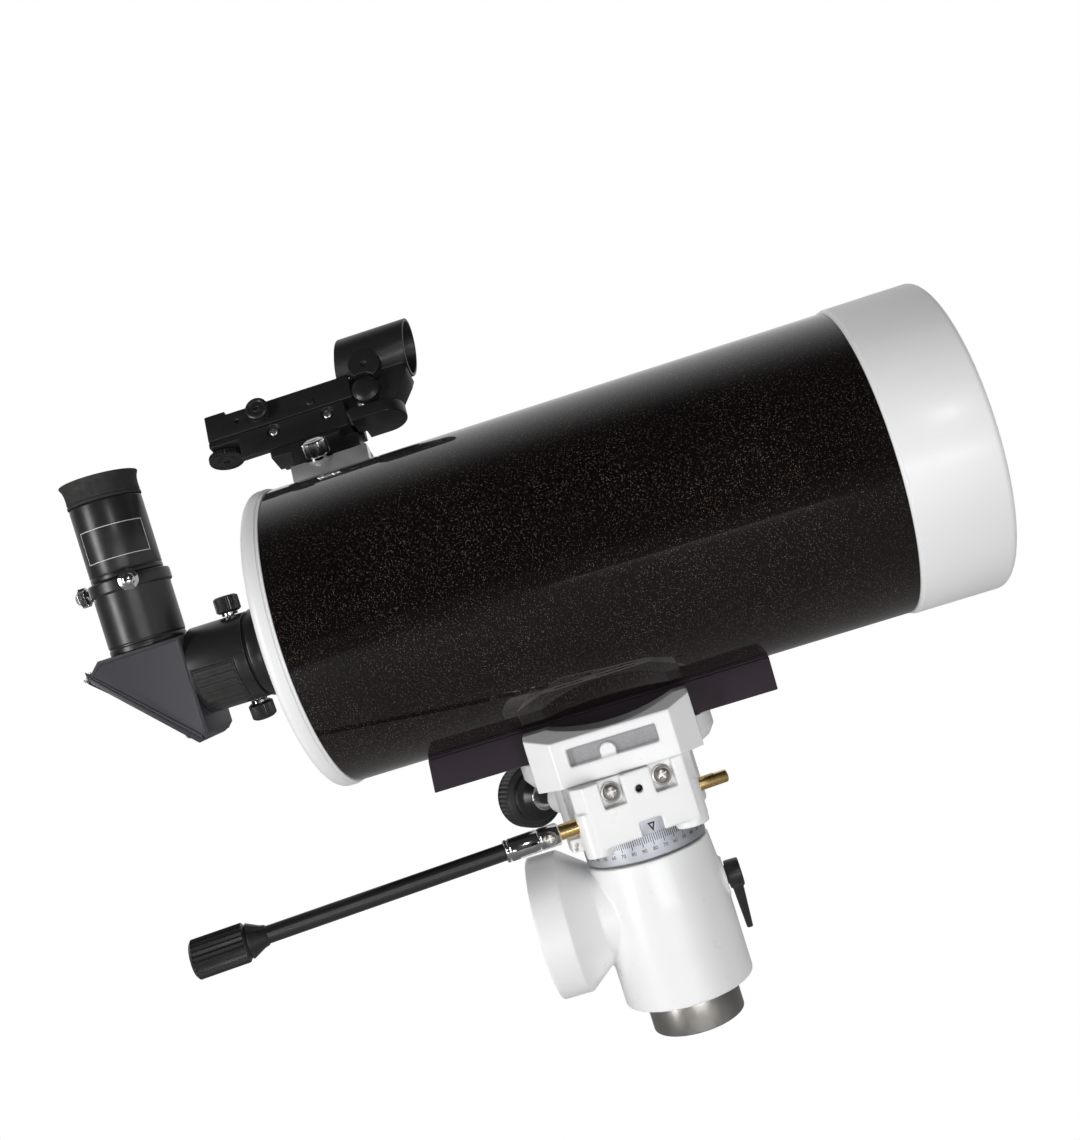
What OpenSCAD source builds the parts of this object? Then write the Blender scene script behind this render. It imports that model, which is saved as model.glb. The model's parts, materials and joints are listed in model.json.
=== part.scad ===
// Maksutov-Cassegrain telescope on the declination head of a small equatorial mount.
// Origin: centre of the flange that bolts to the right-ascension shaft.
// +X runs along the tube towards the sky, +Z up along the declination axis, millimetres.

/* [Optical tube] */
// Outside radius of the black tube
tube_r = 72; // [70:0.5:74]
// Visible length of the black tube between its two cells
tube_len = 267.4; // [240:1:300]
// Length of the front cell in front of the tube
front_len = 42.6; // [38:0.2:48]
// Length of the rear cell behind the tube
rear_len = 9; // [8:0.5:10]
// Height of the optical axis above the flange centre
axis_z = 165; // [164.5:0.1:165.5]

/* [Eyepiece end] */
// Distance of the eyepiece axis behind the tube
eye_back = 80.7; // [80:0.1:82]
// Outside radius of a 1.25 inch barrel
barrel_r = 15.87; // [15.85:0.01:15.88]
// Outside radius of the rotating visual back
back_r = 21; // [20.6:0.1:21.4]
// Height of the eyecup rim above the optical axis
eyecup_top = 102.7; // [100:0.1:105]

/* [Finder] */
// Angle of the finder round the tube, measured from straight up
finder_roll = 22; // [15:1:30]
// Outside radius of the finder's window hood
hood_r = 14.7; // [14.3:0.1:15]

/* [Mount head] */
// Distance from the flange face to the declination axis
dec_x = 57; // [56:0.5:58]
// Turn of the head casting about the declination axis, against the tube
head_turn = 13; // [8:1:16]
// Radius of the round saddle base
saddle_r = 46.5; // [45:0.5:48]
// Radius of the setting circle
circle_r = 29; // [28.6:0.1:29.2]
// Length of the flexible cable beyond its coupling
cable_len = 118; // [90:1:124]

/* [Hidden] */
$fn = 64;
eps = 0.01;
run = 0.06;                    // radial running clearance
slip = 0.15;                   // gap between pieces that only face each other
fit = 0.02;                    // gap round a glued or pressed joint

// optical tube
tube_x = dec_x - 119;          // rear edge of the black tube
wall = 1.6;
cell_r = tube_r + 1.07;
cell_bore = 66.5;
spigot_r = tube_r - wall - run; // part of a cell that fits inside the tube
front_x = tube_len + front_len;
lens_r = 65;
aperture_r = 61;
lens_back = 175;               // radii of the corrector's two faces
lens_front = 170;
port_r = 19;
baffle_r = 17;
baffle_bore = 15.5;
hub_r = 20;                    // hub that carries the mirror
mirror_curve = 500;
focus_y = 46;                  // focus screw, from the optical axis
focus_z = -8;
focus_r = 4;

// visual back
back_end = -59;
thumb_x = -38.5;
thumb_low = 190;               // the lower screw, degrees about the axis
grip_starts = [-92, 88];       // degrees from straight down, towards the far side
grip_x = [-57.5, -37];
grip_span = 60;
grip_depth = 0.9;

// star diagonal, from the eyepiece axis
diag_front = eye_back + back_end - 0.2;
diag_top = 18.5;
diag_half = 19;
hyp = -16;                     // cover's outer line: z = hyp - x
cover_t = 2.6;
line_out = hyp / sqrt(2);
line_in = line_out + cover_t;
collar_r = 17.4;
clear_r = 14.2;                // light path through the diagonal
cover_screws = [for (u = [-27.3, 27.6], v = [-17.6, 17.6]) [u, v]]; // along the slope, across
cover_screw_r = 0.8;

// eyepiece
eye_seat = 53.55;              // shoulder that rests on the holder
holder_screw_z = 50.3;
holder_screw_r = 1.5;
holder_screw_az = [180, -70];  // about the eyepiece axis

// dovetail bar
bar_z = 79.3 - axis_z;         // underside
bar_h = 14.7;
bar_w = 22;                    // half width at the underside
bar_x0 = 34.6;
bar_x1 = 198.8;
flank = tan(15);               // lean of the dovetail flanks
bolt_places = [48, 185];
bolt_r = 2.5;
bolt_head_r = 5;
tripod_x = 174;
tripod_r = 2.55;

// finder
shoe_x = [8, 47];
shoe_screw_x = [16, 38];
rail_half = 11;                // half width of the finder's two rails
base_top = 40.5;
base_screw_x = [1, 29.5];
skirt_y = -8.2;                // inner face of the base's side skirt
cell_z = [27.5, 34.5];         // battery box, bottom and top
body_z0 = base_top + 0.4;
tilt_x = -28.6;
pivot_x = 33;
pivot_w = 47;
pan_x = -4;
pan_w = 48.7;
hood_w = 65.1;
dimmer_r = 7.2;

// mount head
flange_r = 33.5;
arm_r = 23;
step_r = 24;                   // seat of the setting circle
house_r = 31;
shaft_r = 10;
shaft_bottom = -60;
weight_r = 5.1;                // threaded hole for the counterweight bar
weight_depth = 15;
bush_r = 13;
bush_z = [-35, 6];
wheel_teeth = 65;
wheel_r = 29.3;
wheel_bore = 14;
worm_y = -36;                  // worm axis, from the declination axis
worm_z = 50;
worm_r = 6.2;
worm_shaft_r = 3.5;
stub_r = 3;                    // free end of the worm shaft
stub_x = [25, 38];
coup_x = [-67, -42];
cable_r = 3.8;
col_left = -27;
col_right = 16.5;
screw_x = [-15.4, 8.6];
side_root = [-24.7, 20.2, 53.5];
side_az = 112;
side_up = 2;
side_stud_r = 4;

// saddle
saddle_x = dec_x + 1;
saddle_z = 67;
floor_z = 79.1;
jaw_half = 38.5;
clamp_z = 86;
clamp_r = 3;

// ---- frames ----

module at_tube() {
  translate([tube_x, 0, axis_z]) children();
}

// Local Z points out of the tube wall, local Y to the finder's far side
module at_finder() {
  at_tube() rotate([-finder_roll, 0, 0]) translate([0, 0, tube_r]) children();
}

module at_eye() {
  at_tube() translate([-eye_back, 0, 0]) children();
}

module at_head() {
  translate([dec_x, 0, 0]) rotate([0, 0, head_turn]) children();
}

module at_worm() {
  at_head() translate([0, worm_y, worm_z]) children();
}

// ---- shape helpers ----

// Round bar along X
module bar_x(x0, x1, r) {
  translate([x0, 0, 0]) rotate([0, 90, 0]) cylinder(r = r, h = x1 - x0);
}

// Ring along X
module ring_x(x0, x1, r_out, r_in) {
  difference() {
    bar_x(x0, x1, r_out);
    bar_x(x0 - 1, x1 + 1, r_in);
  }
}

module cone_x(x0, x1, r0, r1) {
  translate([x0, 0, 0]) rotate([0, 90, 0]) cylinder(r1 = r0, r2 = r1, h = x1 - x0);
}

module ring_z(z0, z1, r_out, r_in) {
  difference() {
    translate([0, 0, z0]) cylinder(r = r_out, h = z1 - z0);
    translate([0, 0, z0 - 1]) cylinder(r = r_in, h = z1 - z0 + 2);
  }
}

// Turned along X from a profile in (radius, x)
module turned_x(points) {
  rotate([0, 90, 0]) rotate_extrude() polygon(points);
}

module box(x, y, z) {
  translate([x[0], y[0], z[0]]) cube([x[1] - x[0], y[1] - y[0], z[1] - z[0]]);
}

function arc(cx, cy, r, a0, a1, n) =
  [for (i = [0:n]) [cx + r * cos(a0 + (a1 - a0) * i / n), cy + r * sin(a0 + (a1 - a0) * i / n)]];

// Knurled thumb screw standing on Z, tip at z = 0
module thumb_screw(stem_r, stem_len, head_r, head_len) {
  cylinder(r = stem_r, h = stem_len + eps);
  translate([0, 0, stem_len]) cylinder(r = head_r * 0.72, h = 1.6);
  translate([0, 0, stem_len + 1.5]) difference() {
    cylinder(r = head_r, h = head_len);
    translate([0, 0, head_len - 0.8]) rotate_extrude()
      polygon([[head_r - 0.8, 0.9], [head_r + 1, 0.9], [head_r + 1, -0.9]]);
  }
}

// Pan head with a cross recess, standing on Z with its seat at z = 0
module pan_head(r, h) {
  difference() {
    cylinder(r1 = r, r2 = r * 0.8, h = h);
    translate([-r * 0.55, -r * 0.13, h * 0.45]) cube([r * 1.1, r * 0.26, h]);
    translate([-r * 0.13, -r * 0.55, h * 0.45]) cube([r * 0.26, r * 1.1, h]);
  }
}

// ---- optical tube ----

module tube_shell() {
  color("black") at_tube() ring_x(0, tube_len, tube_r, tube_r - wall);
}

module front_cell() {
  color("white") at_tube() turned_x(concat(
    [[aperture_r, 274.9], [cell_bore, 271.9], [cell_bore, 255], [spigot_r, 255],
     [spigot_r, tube_len], [cell_r, tube_len]],
    arc(cell_r - 3, front_x - 3, 3, 0, 90, 5),
    [[cell_bore, front_x], [cell_bore, 278.9], [aperture_r, 278.9]]));
}

// Deep meniscus, hollow side to the sky
module corrector_lens() {
  color("lightblue", 0.4) at_tube() difference() {
    intersection() {
      bar_x(260, 292.8, lens_r);
      translate([268 + lens_back, 0, 0]) sphere(r = lens_back, $fn = 128);
    }
    translate([280 + lens_front, 0, 0]) sphere(r = lens_front, $fn = 128);
  }
}

module corrector_retainer() {
  color("dimgray") at_tube() ring_x(293, 297, cell_bore - 0.1, aperture_r + 1);
}

module secondary_baffle() {
  color("black") at_tube() difference() {
    cone_x(244, 267.9, 23, 20);
    cone_x(243, 268.9, 22, 19);
  }
}

module rear_cell() {
  color("white") at_tube() difference() {
    turned_x(concat(
      [[0, -rear_len]],
      arc(cell_r - 4, 4 - rear_len, 4, -90, 0, 5),
      [[cell_r, 0], [spigot_r, 0], [spigot_r, 12], [67, 12], [67, -4], [0, -4]]));
    bar_x(-rear_len - 1, 0, port_r + run);
    translate([0, focus_y, focus_z]) bar_x(-rear_len - 1, 0, focus_r + run);
  }
}

// Central tube with the threaded port neck
module baffle_tube() {
  color("black") at_tube() difference() {
    union() {
      bar_x(-16, -3.9, port_r);
      bar_x(-3.9, -1, 27);
      bar_x(-1 - eps, 140, baffle_r);
    }
    bar_x(-17, 141, baffle_bore);
  }
}

module mirror_carrier() {
  color("dimgray") at_tube() difference() {
    union() {
      bar_x(12, 66, hub_r);
      bar_x(30, 34, 54);
      translate([0, focus_y, focus_z]) bar_x(14, 31, 6);
    }
    bar_x(9, 70, baffle_r + run);
    translate([0, focus_y, focus_z]) bar_x(13, 30.6, focus_r - 1 + run);
  }
}

module primary_mirror() {
  color("silver") at_tube() difference() {
    bar_x(34 + eps, 54, 65);
    bar_x(33, 55, hub_r + run);
    translate([50 + mirror_curve, 0, 0]) sphere(r = mirror_curve, $fn = 160);
  }
}

module focus_screw() {
  color("silver") at_tube() translate([0, focus_y, focus_z]) {
    bar_x(-24, -3, focus_r);
    bar_x(-3 - eps, 24, focus_r - 1);
    bar_x(-3.9, -2.4, 6);
  }
}

module focus_knob() {
  color("black") at_tube() translate([0, focus_y, focus_z]) difference() {
    union() {
      bar_x(-11.5, -rear_len - 0.2, 9);
      bar_x(-31, -11.5 + eps, 11.5);
    }
    bar_x(-24.5, -8, focus_r + fit);
    for (a = [0:20:340]) rotate([a, 0, 0]) translate([0, 0, 11.9]) bar_x(-29.5, -13, 0.9);
  }
}

// ---- visual back ----

module back_adaptor() {
  color("black") at_tube() difference() {
    union() {
      bar_x(-29.4, -13, 21.5);
      bar_x(-13 - eps, -9.2, 23);
    }
    bar_x(-16.1, -8, port_r + run);
    bar_x(-30, -16, baffle_r + run);
    translate([-24.4, 0, 0]) rotate([125, 0, 0]) translate([0, 0, baffle_r]) cylinder(r = 1.5, h = 6);
  }
}

module visual_back() {
  color("black") at_tube() difference() {
    union() {
      bar_x(back_end, -31, back_r);
      bar_x(-31 - eps, -29.5, port_r);
      bar_x(-29.5 - eps, -19, baffle_r);
    }
    bar_x(back_end - 1, -33, barrel_r + run);
    bar_x(-34, -18, 15);
    for (a = [0, thumb_low]) rotate([a, 0, 0]) translate([thumb_x, 0, 10]) cylinder(r = 2 + run, h = 14);
    grip_seats();
  }
}

// A patch of the visual back's wall between two radii, grown by g on its other sides
module grip_patch(a, r0, r1, g) {
  rotate([0, 90, 0]) rotate([0, 0, a - g * 2]) translate([0, 0, grip_x[0] - g])
    rotate_extrude(angle = grip_span + g * 4)
      translate([r0, 0]) square([r1 - r0, grip_x[1] - grip_x[0] + 2 * g]);
}

// Shallow seats for the rubber grip pads
module grip_seats() {
  for (a = grip_starts) grip_patch(a, back_r - grip_depth - fit, back_r + 2, 0.1);
}

module grip_pads() {
  color("dimgray") at_tube() for (a = grip_starts) {
    grip_patch(a, back_r - grip_depth, back_r + 0.2, 0);
    for (i = [0:5]) rotate([0, 90, 0]) rotate([0, 0, a + 5 + i * 10])
      translate([back_r, -0.9, grip_x[0] + 1]) cube([0.9, 1.8, grip_x[1] - grip_x[0] - 2]);
  }
}

module back_thumb(a) {
  at_tube() rotate([a, 0, 0]) translate([thumb_x, 0, barrel_r + 0.1]) thumb_screw(2, 5.4, 6, 8);
}

module back_thumb_top() {
  color("black") back_thumb(0);
}

module back_thumb_low() {
  color("black") back_thumb(thumb_low);
}

// ---- star diagonal ----

module diagonal_outline() {
  polygon([[diag_front, diag_top], [-19, diag_top], [-25.3, 12.2], [-25.3, hyp + 25.3],
    [16, hyp - 16], [19, hyp - 14.5], [diag_front, hyp - 12]]);
}

// Half plane on the prism's side of a 45 degree line shifted by d
module above_line(d) {
  rotate([0, 0, -45]) translate([-80, d]) square([160, 120]);
}

module diag_slab(w) {
  translate([0, w, 0]) rotate([90, 0, 0]) linear_extrude(2 * w) children();
}

module diagonal_housing() {
  color([0.2, 0.2, 0.24]) at_eye() difference() {
    diag_slab(diag_half) intersection() {
      diagonal_outline();
      above_line(line_in + fit);
    }
    diag_slab(diag_half - 1.8) polygon([[diag_front - 2.5, diag_top - 1.5], [-18, diag_top - 1.5],
      [-23, 11.5], [-23, 0], [diag_front - 2.5, -40]]);
    cylinder(r = collar_r + run, h = 40);
    bar_x(10, 40, collar_r + run);
    cover_screw_holes();
  }
}

module cover_screw_at(p) {
  rotate([0, 45, 0]) translate([p[0], p[1], line_out]) children();
}

module cover_screw_holes() {
  for (p = cover_screws) cover_screw_at(p) translate([0, 0, -1]) cylinder(r = cover_screw_r + run, h = 8);
}

module diagonal_cover() {
  color([0.14, 0.14, 0.16]) at_eye() difference() {
    diag_slab(diag_half) intersection() {
      diagonal_outline();
      above_line(line_out);
      rotate([0, 0, -45]) translate([-80, -100 + line_in]) square([160, 100]);
    }
    cover_screw_holes();
  }
}

module diagonal_screws() {
  color("silver") at_eye() for (p = cover_screws) cover_screw_at(p) {
    cylinder(r = cover_screw_r, h = 5);
    translate([0, 0, -0.7]) cylinder(r = cover_screw_r + 0.5, h = 0.68);
  }
}

// Right-angle prism, its slope through the crossing of the two optical axes
module diagonal_prism() {
  color("lightcyan", 0.5) at_eye() diag_slab(15) polygon([[-13.2, 13.3], [diag_front - 5.5, 13.3],
    [diag_front - 5.5, 5.5 - diag_front + 0.1], [-13.3, 13.2]]);
}

module diagonal_nosepiece() {
  color("silver") at_eye() difference() {
    union() {
      bar_x(diag_front - 2.7, diag_front, collar_r);
      bar_x(diag_front - eps, 44, barrel_r);
    }
    bar_x(0, 50, clear_r);
  }
}

module eyepiece_holder() {
  color("black") at_eye() difference() {
    union() {
      translate([0, 0, diag_top - 1.5]) cylinder(r = collar_r, h = 3);
      translate([0, 0, diag_top]) cylinder(r = 18.4, h = 28.7);
      translate([0, 0, 47.2]) cylinder(r = 19.6, h = 5.4);
      translate([0, 0, 52.6 - eps]) cylinder(r1 = 19.6, r2 = 19, h = 0.8);
    }
    translate([0, 0, 15]) cylinder(r = clear_r, h = 60);
    translate([0, 0, 24]) cylinder(r = barrel_r + run, h = 60);
    for (a = holder_screw_az) rotate([0, 0, a]) translate([10, 0, holder_screw_z]) rotate([0, 90, 0])
      cylinder(r = holder_screw_r + run, h = 14);
  }
}

// Screw of the eyepiece holder with a domed knurled head
module holder_thumb(a) {
  at_eye() rotate([0, 0, a]) translate([barrel_r + 0.1, 0, holder_screw_z]) rotate([0, 90, 0]) {
    cylinder(r = holder_screw_r, h = 5);
    translate([0, 0, 3.9]) cylinder(r = 3, h = 1.4);
    translate([0, 0, 5.2]) cylinder(r = 4.8, h = 5);
    translate([0, 0, 10.2 - eps]) rotate_extrude() intersection() {
      square([5, 3]);
      translate([0, -6.2]) circle(r = 7.84);
    }
  }
}

module holder_thumb_side() {
  color("silver") holder_thumb(holder_screw_az[0]);
}

module holder_thumb_front() {
  color("silver") holder_thumb(holder_screw_az[1]);
}

// ---- eyepiece ----

module eyepiece_body() {
  color("black") at_eye() difference() {
    rotate_extrude() polygon([[13.6, eye_seat], [16.8, eye_seat], [17.2, eye_seat + 0.8],
      [17.2, 90.6], [16.7, 91.1], [16.7, 93], [15, 94.5], [13.6, 94.5]]);
    translate([0, 0, 50]) cylinder(r = 14, h = 8);
  }
}

module eyepiece_barrel() {
  color("silver") at_eye() difference() {
    union() {
      translate([0, 0, 27]) cylinder(r = barrel_r, h = eye_seat - 27 - fit);
      translate([0, 0, 50]) cylinder(r = 13.95, h = 7.9);
    }
    translate([0, 0, 26]) cylinder(r = 13, h = 40);
  }
}

// Two lens groups, each a biconvex disc
module eyepiece_lenses() {
  color("lightblue", 0.4) at_eye() {
    for (c = [[66, 60], [86, 50]]) intersection() {
      translate([0, 0, c[0] - 4]) cylinder(r = 13.5, h = 8);
      translate([0, 0, c[0] + 3.6 - c[1]]) sphere(r = c[1], $fn = 96);
      translate([0, 0, c[0] - 3.6 + c[1]]) sphere(r = c[1], $fn = 96);
    }
  }
}

// Soft rubber cup, flared at the rim
module eyecup() {
  color([0.08, 0.08, 0.08]) at_eye() rotate_extrude() polygon([[16.75, 91.2], [17.6, 91.2],
    [17.4, 94], [17.3, 96.6], [17.5, 98.6], [18, 100.6], [18.8, eyecup_top], [18.1, eyecup_top],
    [17, 99.6], [16.2, 97], [14.6, 95.6], [14.6, 94.6], [16.75, 94.6]]);
}

// ---- dovetail bar ----

// Half width of the bar at height h above its underside
function bar_half(h) = bar_w - h * flank;

module dovetail_bar() {
  color([0.25, 0.22, 0.24]) at_tube() difference() {
    intersection() {
      translate([bar_x0, 0, bar_z]) rotate([90, 0, 90]) linear_extrude(bar_x1 - bar_x0)
        polygon([[-bar_w, 0], [bar_w, 0], [bar_half(bar_h), bar_h], [bar_half(bar_h) - 0.8, bar_h],
          [bar_half(bar_h) - 0.8, bar_h + 5], [0.8 - bar_half(bar_h), bar_h + 5],
          [0.8 - bar_half(bar_h), bar_h], [-bar_half(bar_h), bar_h]]);
      translate([0, 30, bar_z]) rotate([90, 0, 0]) linear_extrude(60)
        polygon([[bar_x0, 0], [bar_x1 - 1, 0], [bar_x1, 20], [bar_x0 + 1, 20]]);
    }
    bar_x(bar_x0 - 1, bar_x1 + 1, tube_r + fit);
    for (x = bolt_places) translate([x, 0, bar_z - 1]) {
      cylinder(r = bolt_r + slip, h = 30);
      cylinder(r = bolt_head_r + slip, h = 7);
    }
    translate([tripod_x, 0, bar_z - 1]) cylinder(r = tripod_r, h = 9);
  }
}

module bar_bolts() {
  color("silver") at_tube() for (x = bolt_places) translate([x, 0, bar_z]) difference() {
    union() {
      translate([0, 0, 1]) cylinder(r = bolt_head_r, h = 4.95);
      translate([0, 0, 5.9]) cylinder(r = bolt_r, h = 7.7);
    }
    cylinder(r = 2.5, h = 3.5, $fn = 6);
  }
}

// ---- finder ----

module finder_shoe() {
  color([0.85, 0.85, 0.86]) difference() {
    at_finder() box(shoe_x, [-20, 20], [-4, 8]);
    at_tube() bar_x(0, 60, tube_r + fit);
    at_finder() translate([0, 0, 3]) rotate([90, 0, 90]) linear_extrude(60)
      polygon([[-15.2, 0], [15.2, 0], [12.4, 6], [-12.4, 6]]);
    at_finder() for (x = shoe_screw_x) translate([x, 0, -5]) {
      cylinder(r = 2 + slip, h = 20);
      translate([0, 0, 6.4]) cylinder(r = 3.6 + slip, h = 10);
    }
    at_finder() thumb_place() {
      translate([0, 0, -12]) cylinder(r = 2 + run, h = 30);
      translate([0, 0, 5.4]) cylinder(r = 7, h = 20);
    }
  }
}

module shoe_screws() {
  color("silver") at_finder() for (x = shoe_screw_x) translate([x, 0, 0.05]) difference() {
    union() {
      cylinder(r = 2, h = 1.5);
      translate([0, 0, 1.4]) cylinder(r = 3.6, h = 1.4);
    }
    translate([-2.4, -0.4, 2.2]) cube([4.8, 0.8, 2]);
  }
}

// Clamp screw in the shoe's near wall, pointing up and out at 45 degrees
module thumb_place() {
  translate([23, -14.9, 4.6]) rotate([45, 0, 0]) children();
}

module shoe_thumbscrew() {
  color("silver") at_finder() thumb_place() translate([0, 0, 0.4]) thumb_screw(2, 5.2, 6.2, 9);
}

// Lower rail of the finder with its dovetail foot
module finder_base() {
  color("black") at_finder() difference() {
    union() {
      translate([shoe_x[0], 0, 3.3]) rotate([90, 0, 90]) linear_extrude(32)
        polygon([[-14.8, 0], [14.8, 0], [12.1, 5.6], [12.1, 9], [-12.1, 9], [-12.1, 5.6]]);
      box([shoe_x[0], 43], [-14, 14], [12.2, 19]);
      box([shoe_x[0], 34], [-14, 14], [18.9, 24]);
      box([-2, shoe_x[0] + 0.1], [-14, 0], [19.4, 24]);
      box([-2, 34], [-10, 10], [23.9, 26.1]);
      box([-2, 39], [-rail_half, rail_half], [26, base_top]);
      box([38.9, 42.6], [4, rail_half], [26.2, 34.2]);
      box([-17.5, -1.9], [-rail_half, skirt_y], [26, base_top]);
      box([-33, -1.9], [-rail_half, rail_half], [37.3, base_top]);
    }
    thumb_place() {
      translate([0, 0, -4]) cylinder(r = 2.8, h = 60);
      translate([0, 0, 4.6]) cylinder(r = 7.4, h = 60);
    }
    translate([tilt_x, 0, 30]) cylinder(r = 2 + run, h = 20);
    translate([pivot_x, 0, 28]) cylinder(r = 4 + run, h = 20);
    for (x = base_screw_x) translate([x, -12, 36]) rotate([-90, 0, 0]) {
      cylinder(r = 3.4, h = 2.4);
      cylinder(r = 1.5 + slip, h = 9);
    }
    box([26, 36], [-15, -13.2], [13.5, 22]);
  }
}

module finder_screws() {
  color("silver") at_finder() for (x = base_screw_x) translate([x, -9.63, 36]) rotate([90, 0, 0]) {
    pan_head(2.4, 1.3);
    translate([0, 0, -6]) cylinder(r = 1.5, h = 6.1);
  }
}

// Turns in the base, and carries the cross pin that the body tilts on
module finder_pivot() {
  color("silver") at_finder() translate([pivot_x, 0, 0]) {
    translate([0, 0, 29]) cylinder(r = 4, h = pivot_w - 29);
    intersection() {
      translate([0, 4, pivot_w]) rotate([90, 0, 0]) cylinder(r = 4, h = 8);
      translate([0, 0, pivot_w - 5]) cylinder(r = 4, h = 12);
    }
    translate([0, 9, pivot_w]) rotate([90, 0, 0]) cylinder(r = 1.5, h = 18);
  }
}

// Upper rail of the finder
module finder_body() {
  color("black") at_finder() difference() {
    union() {
      box([-33, 44], [-rail_half, rail_half], [body_z0, 54]);
      box([-33, -22], [-rail_half, rail_half], [53.9, 55.9]);
    }
    box([pivot_x - 4.6, pivot_x + 4.6], [-4.6, 4.6], [body_z0 - 1, 51.6]);
    translate([pivot_x, 9.2, pivot_w]) rotate([90, 0, 0]) cylinder(r = 1.5 + run, h = 18.4);
    translate([tilt_x, 0, body_z0 - 1]) cylinder(r = 3.8, h = 6);
    translate([pan_x, -12, pan_w]) rotate([-90, 0, 0]) cylinder(r = 1.5 + run, h = 9);
    translate([43.9, 0, hood_w]) bar_x(-10, 20, hood_r + 0.05);
    translate([-16.5, -11.2, 48]) rotate([-90, 0, 0]) cylinder(r = 0.9, h = 3);
    translate([30, 0, 49]) bar_x(0, 20, 2);
  }
}

// Hood round the window, its ends raked, on an arm that comes up from the battery box
module finder_hood() {
  color("black") at_finder() difference() {
    intersection() {
      union() {
        translate([0, 0, hood_w]) bar_x(34, 90, hood_r);
        translate([54, -10, 54.6]) rotate([90, 0, 0]) cylinder(r = 8.2, h = 5);
        box([44.2, 72], [-8, 8], [34.6, 56]);
        translate([66, 0, 44]) rotate([90, 0, 0]) translate([0, 0, -8]) cylinder(r = 9.5, h = 16);
      }
      translate([0, 30, 0]) rotate([90, 0, 0]) linear_extrude(60)
        polygon([[36.8, 50.3], [44.2, 47], [48.2, 47], [48.2, 34.6], [64, 34.6], [72, 46],
          [74.1, 50.3], [79.6, 79.9], [43, 79.9], [40, 64]]);
    }
    translate([0, 0, hood_w]) bar_x(30, 95, hood_r - 1.6);
    translate([54, -14, 54.6]) rotate([90, 0, 0]) cylinder(r = 1.4, h = 3);
    box([30, 44.1], [-30, 30], [30, 54.1]);
    dimmer_frame() cylinder(r = dimmer_r + 0.4, h = 9);
  }
}

module finder_window() {
  color("lightblue", 0.4) at_finder() translate([62, 0, hood_w]) rotate([0, 12, 0])
    bar_x(-0.9, 0.9, hood_r - 2.3);
}

// Frame of the brightness wheel on the near side of the arm, in the finder's frame
module dimmer_frame() {
  translate([51.5, -8.2, 42.2]) rotate([90, 0, 0]) children();
}

module dimmer_wheel() {
  color("black") at_finder() dimmer_frame() {
    translate([0, 0, 0.2]) cylinder(r = dimmer_r, h = 4);
    translate([0, 0, 4.2 - eps]) cylinder(r1 = dimmer_r, r2 = dimmer_r - 1.5, h = 1.6);
  }
}

// Battery box with a rounded front end
module battery_box() {
  color("black") at_finder() difference() {
    union() {
      box([44.5, 56], [-rail_half, rail_half], cell_z);
      box([40.4, 45], [-rail_half, 3.4], cell_z);
      translate([56, 0, cell_z[0]]) cylinder(r = rail_half, h = cell_z[1] - cell_z[0]);
    }
    translate([55.5, 0, 29]) cylinder(r = 9.8, h = 4);
  }
}

module tilt_knob() {
  color("black") at_finder() translate([tilt_x, 0, 0]) difference() {
    union() {
      translate([0, 0, 33.4]) cylinder(r = 9, h = 3.6);
      translate([0, 0, 36.9]) cylinder(r = 2, h = 8.4);
    }
    translate([0, 0, 32]) cylinder(r = 1.4, h = 3);
    for (a = [0:15:345]) rotate([0, 0, a]) translate([9.4, 0, 33]) cylinder(r = 0.7, h = 5);
  }
}

module pan_knob() {
  color("black") at_finder() translate([pan_x, -rail_half - 0.2, pan_w]) rotate([90, 0, 0]) difference() {
    union() {
      cylinder(r = 6, h = 5);
      translate([0, 0, -8]) cylinder(r = 1.5, h = 8.1);
    }
    for (a = [0:20:340]) rotate([0, 0, a]) translate([6.35, 0, 0.8]) cylinder(r = 0.7, h = 5);
  }
}

// ---- declination housing, fixed to the right-ascension shaft ----

module dec_housing() {
  color("white") difference() {
    union() {
      bar_x(0, 14, flange_r);
      cone_x(14 - eps, 28, flange_r, arm_r);
      bar_x(27, dec_x, arm_r);
      translate([dec_x, 0, 0]) {
        translate([0, 0, -44]) cylinder(r = house_r, h = 45);
        translate([0, 0, 1 - eps]) cylinder(r1 = house_r, r2 = 29.6, h = 22);
        translate([0, 0, 22]) cylinder(r = step_r, h = 15.5);
        translate([0, 0, 37]) cylinder(r = wheel_bore, h = 20);
        bar_x(20, 31.6, 9);
      }
    }
    translate([dec_x, 0, -50]) cylinder(r = shaft_r + 0.4, h = 120);
    for (z = bush_z) translate([dec_x, 0, z - 0.05]) cylinder(r = bush_r + fit, h = 16.1);
    translate([dec_x, 0, -45]) cylinder(r = bush_r + fit, h = 10);
    translate([dec_x, 0, 50]) cylinder(r = bush_r - 1.5, h = 10);
    bar_x(-1, 15, 10);
    for (a = [45:90:315]) rotate([a, 0, 0]) translate([0, 0, 25]) bar_x(-1, 12, 2.6);
    translate([dec_x, 0, 0]) bar_x(5, 40, 4 + run);
  }
}

module dec_bushes() {
  color("goldenrod") translate([dec_x, 0, 0])
    for (z = bush_z) ring_z(z, z + 16, bush_r, shaft_r + run);
}

module worm_wheel() {
  color("goldenrod") translate([dec_x, 0, 45]) difference() {
    cylinder(r = wheel_r, h = 10);
    translate([0, 0, -1]) cylinder(r = wheel_bore + fit, h = 12);
    for (i = [0:wheel_teeth - 1]) rotate([0, 0, i * 360 / wheel_teeth])
      translate([wheel_r + 0.4, 0, -1]) rotate([0, 0, 45]) cube([1.6, 1.6, 30], center = true);
  }
}

module setting_circle() {
  color("silver") translate([dec_x, 0, 0]) difference() {
    ring_z(24, 36.4, circle_r, step_r + run);
    for (a = [0:10:350]) rotate([0, 0, a]) translate([circle_r, 0, 33]) cube([0.7, 0.35, 9], center = true);
  }
}

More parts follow.
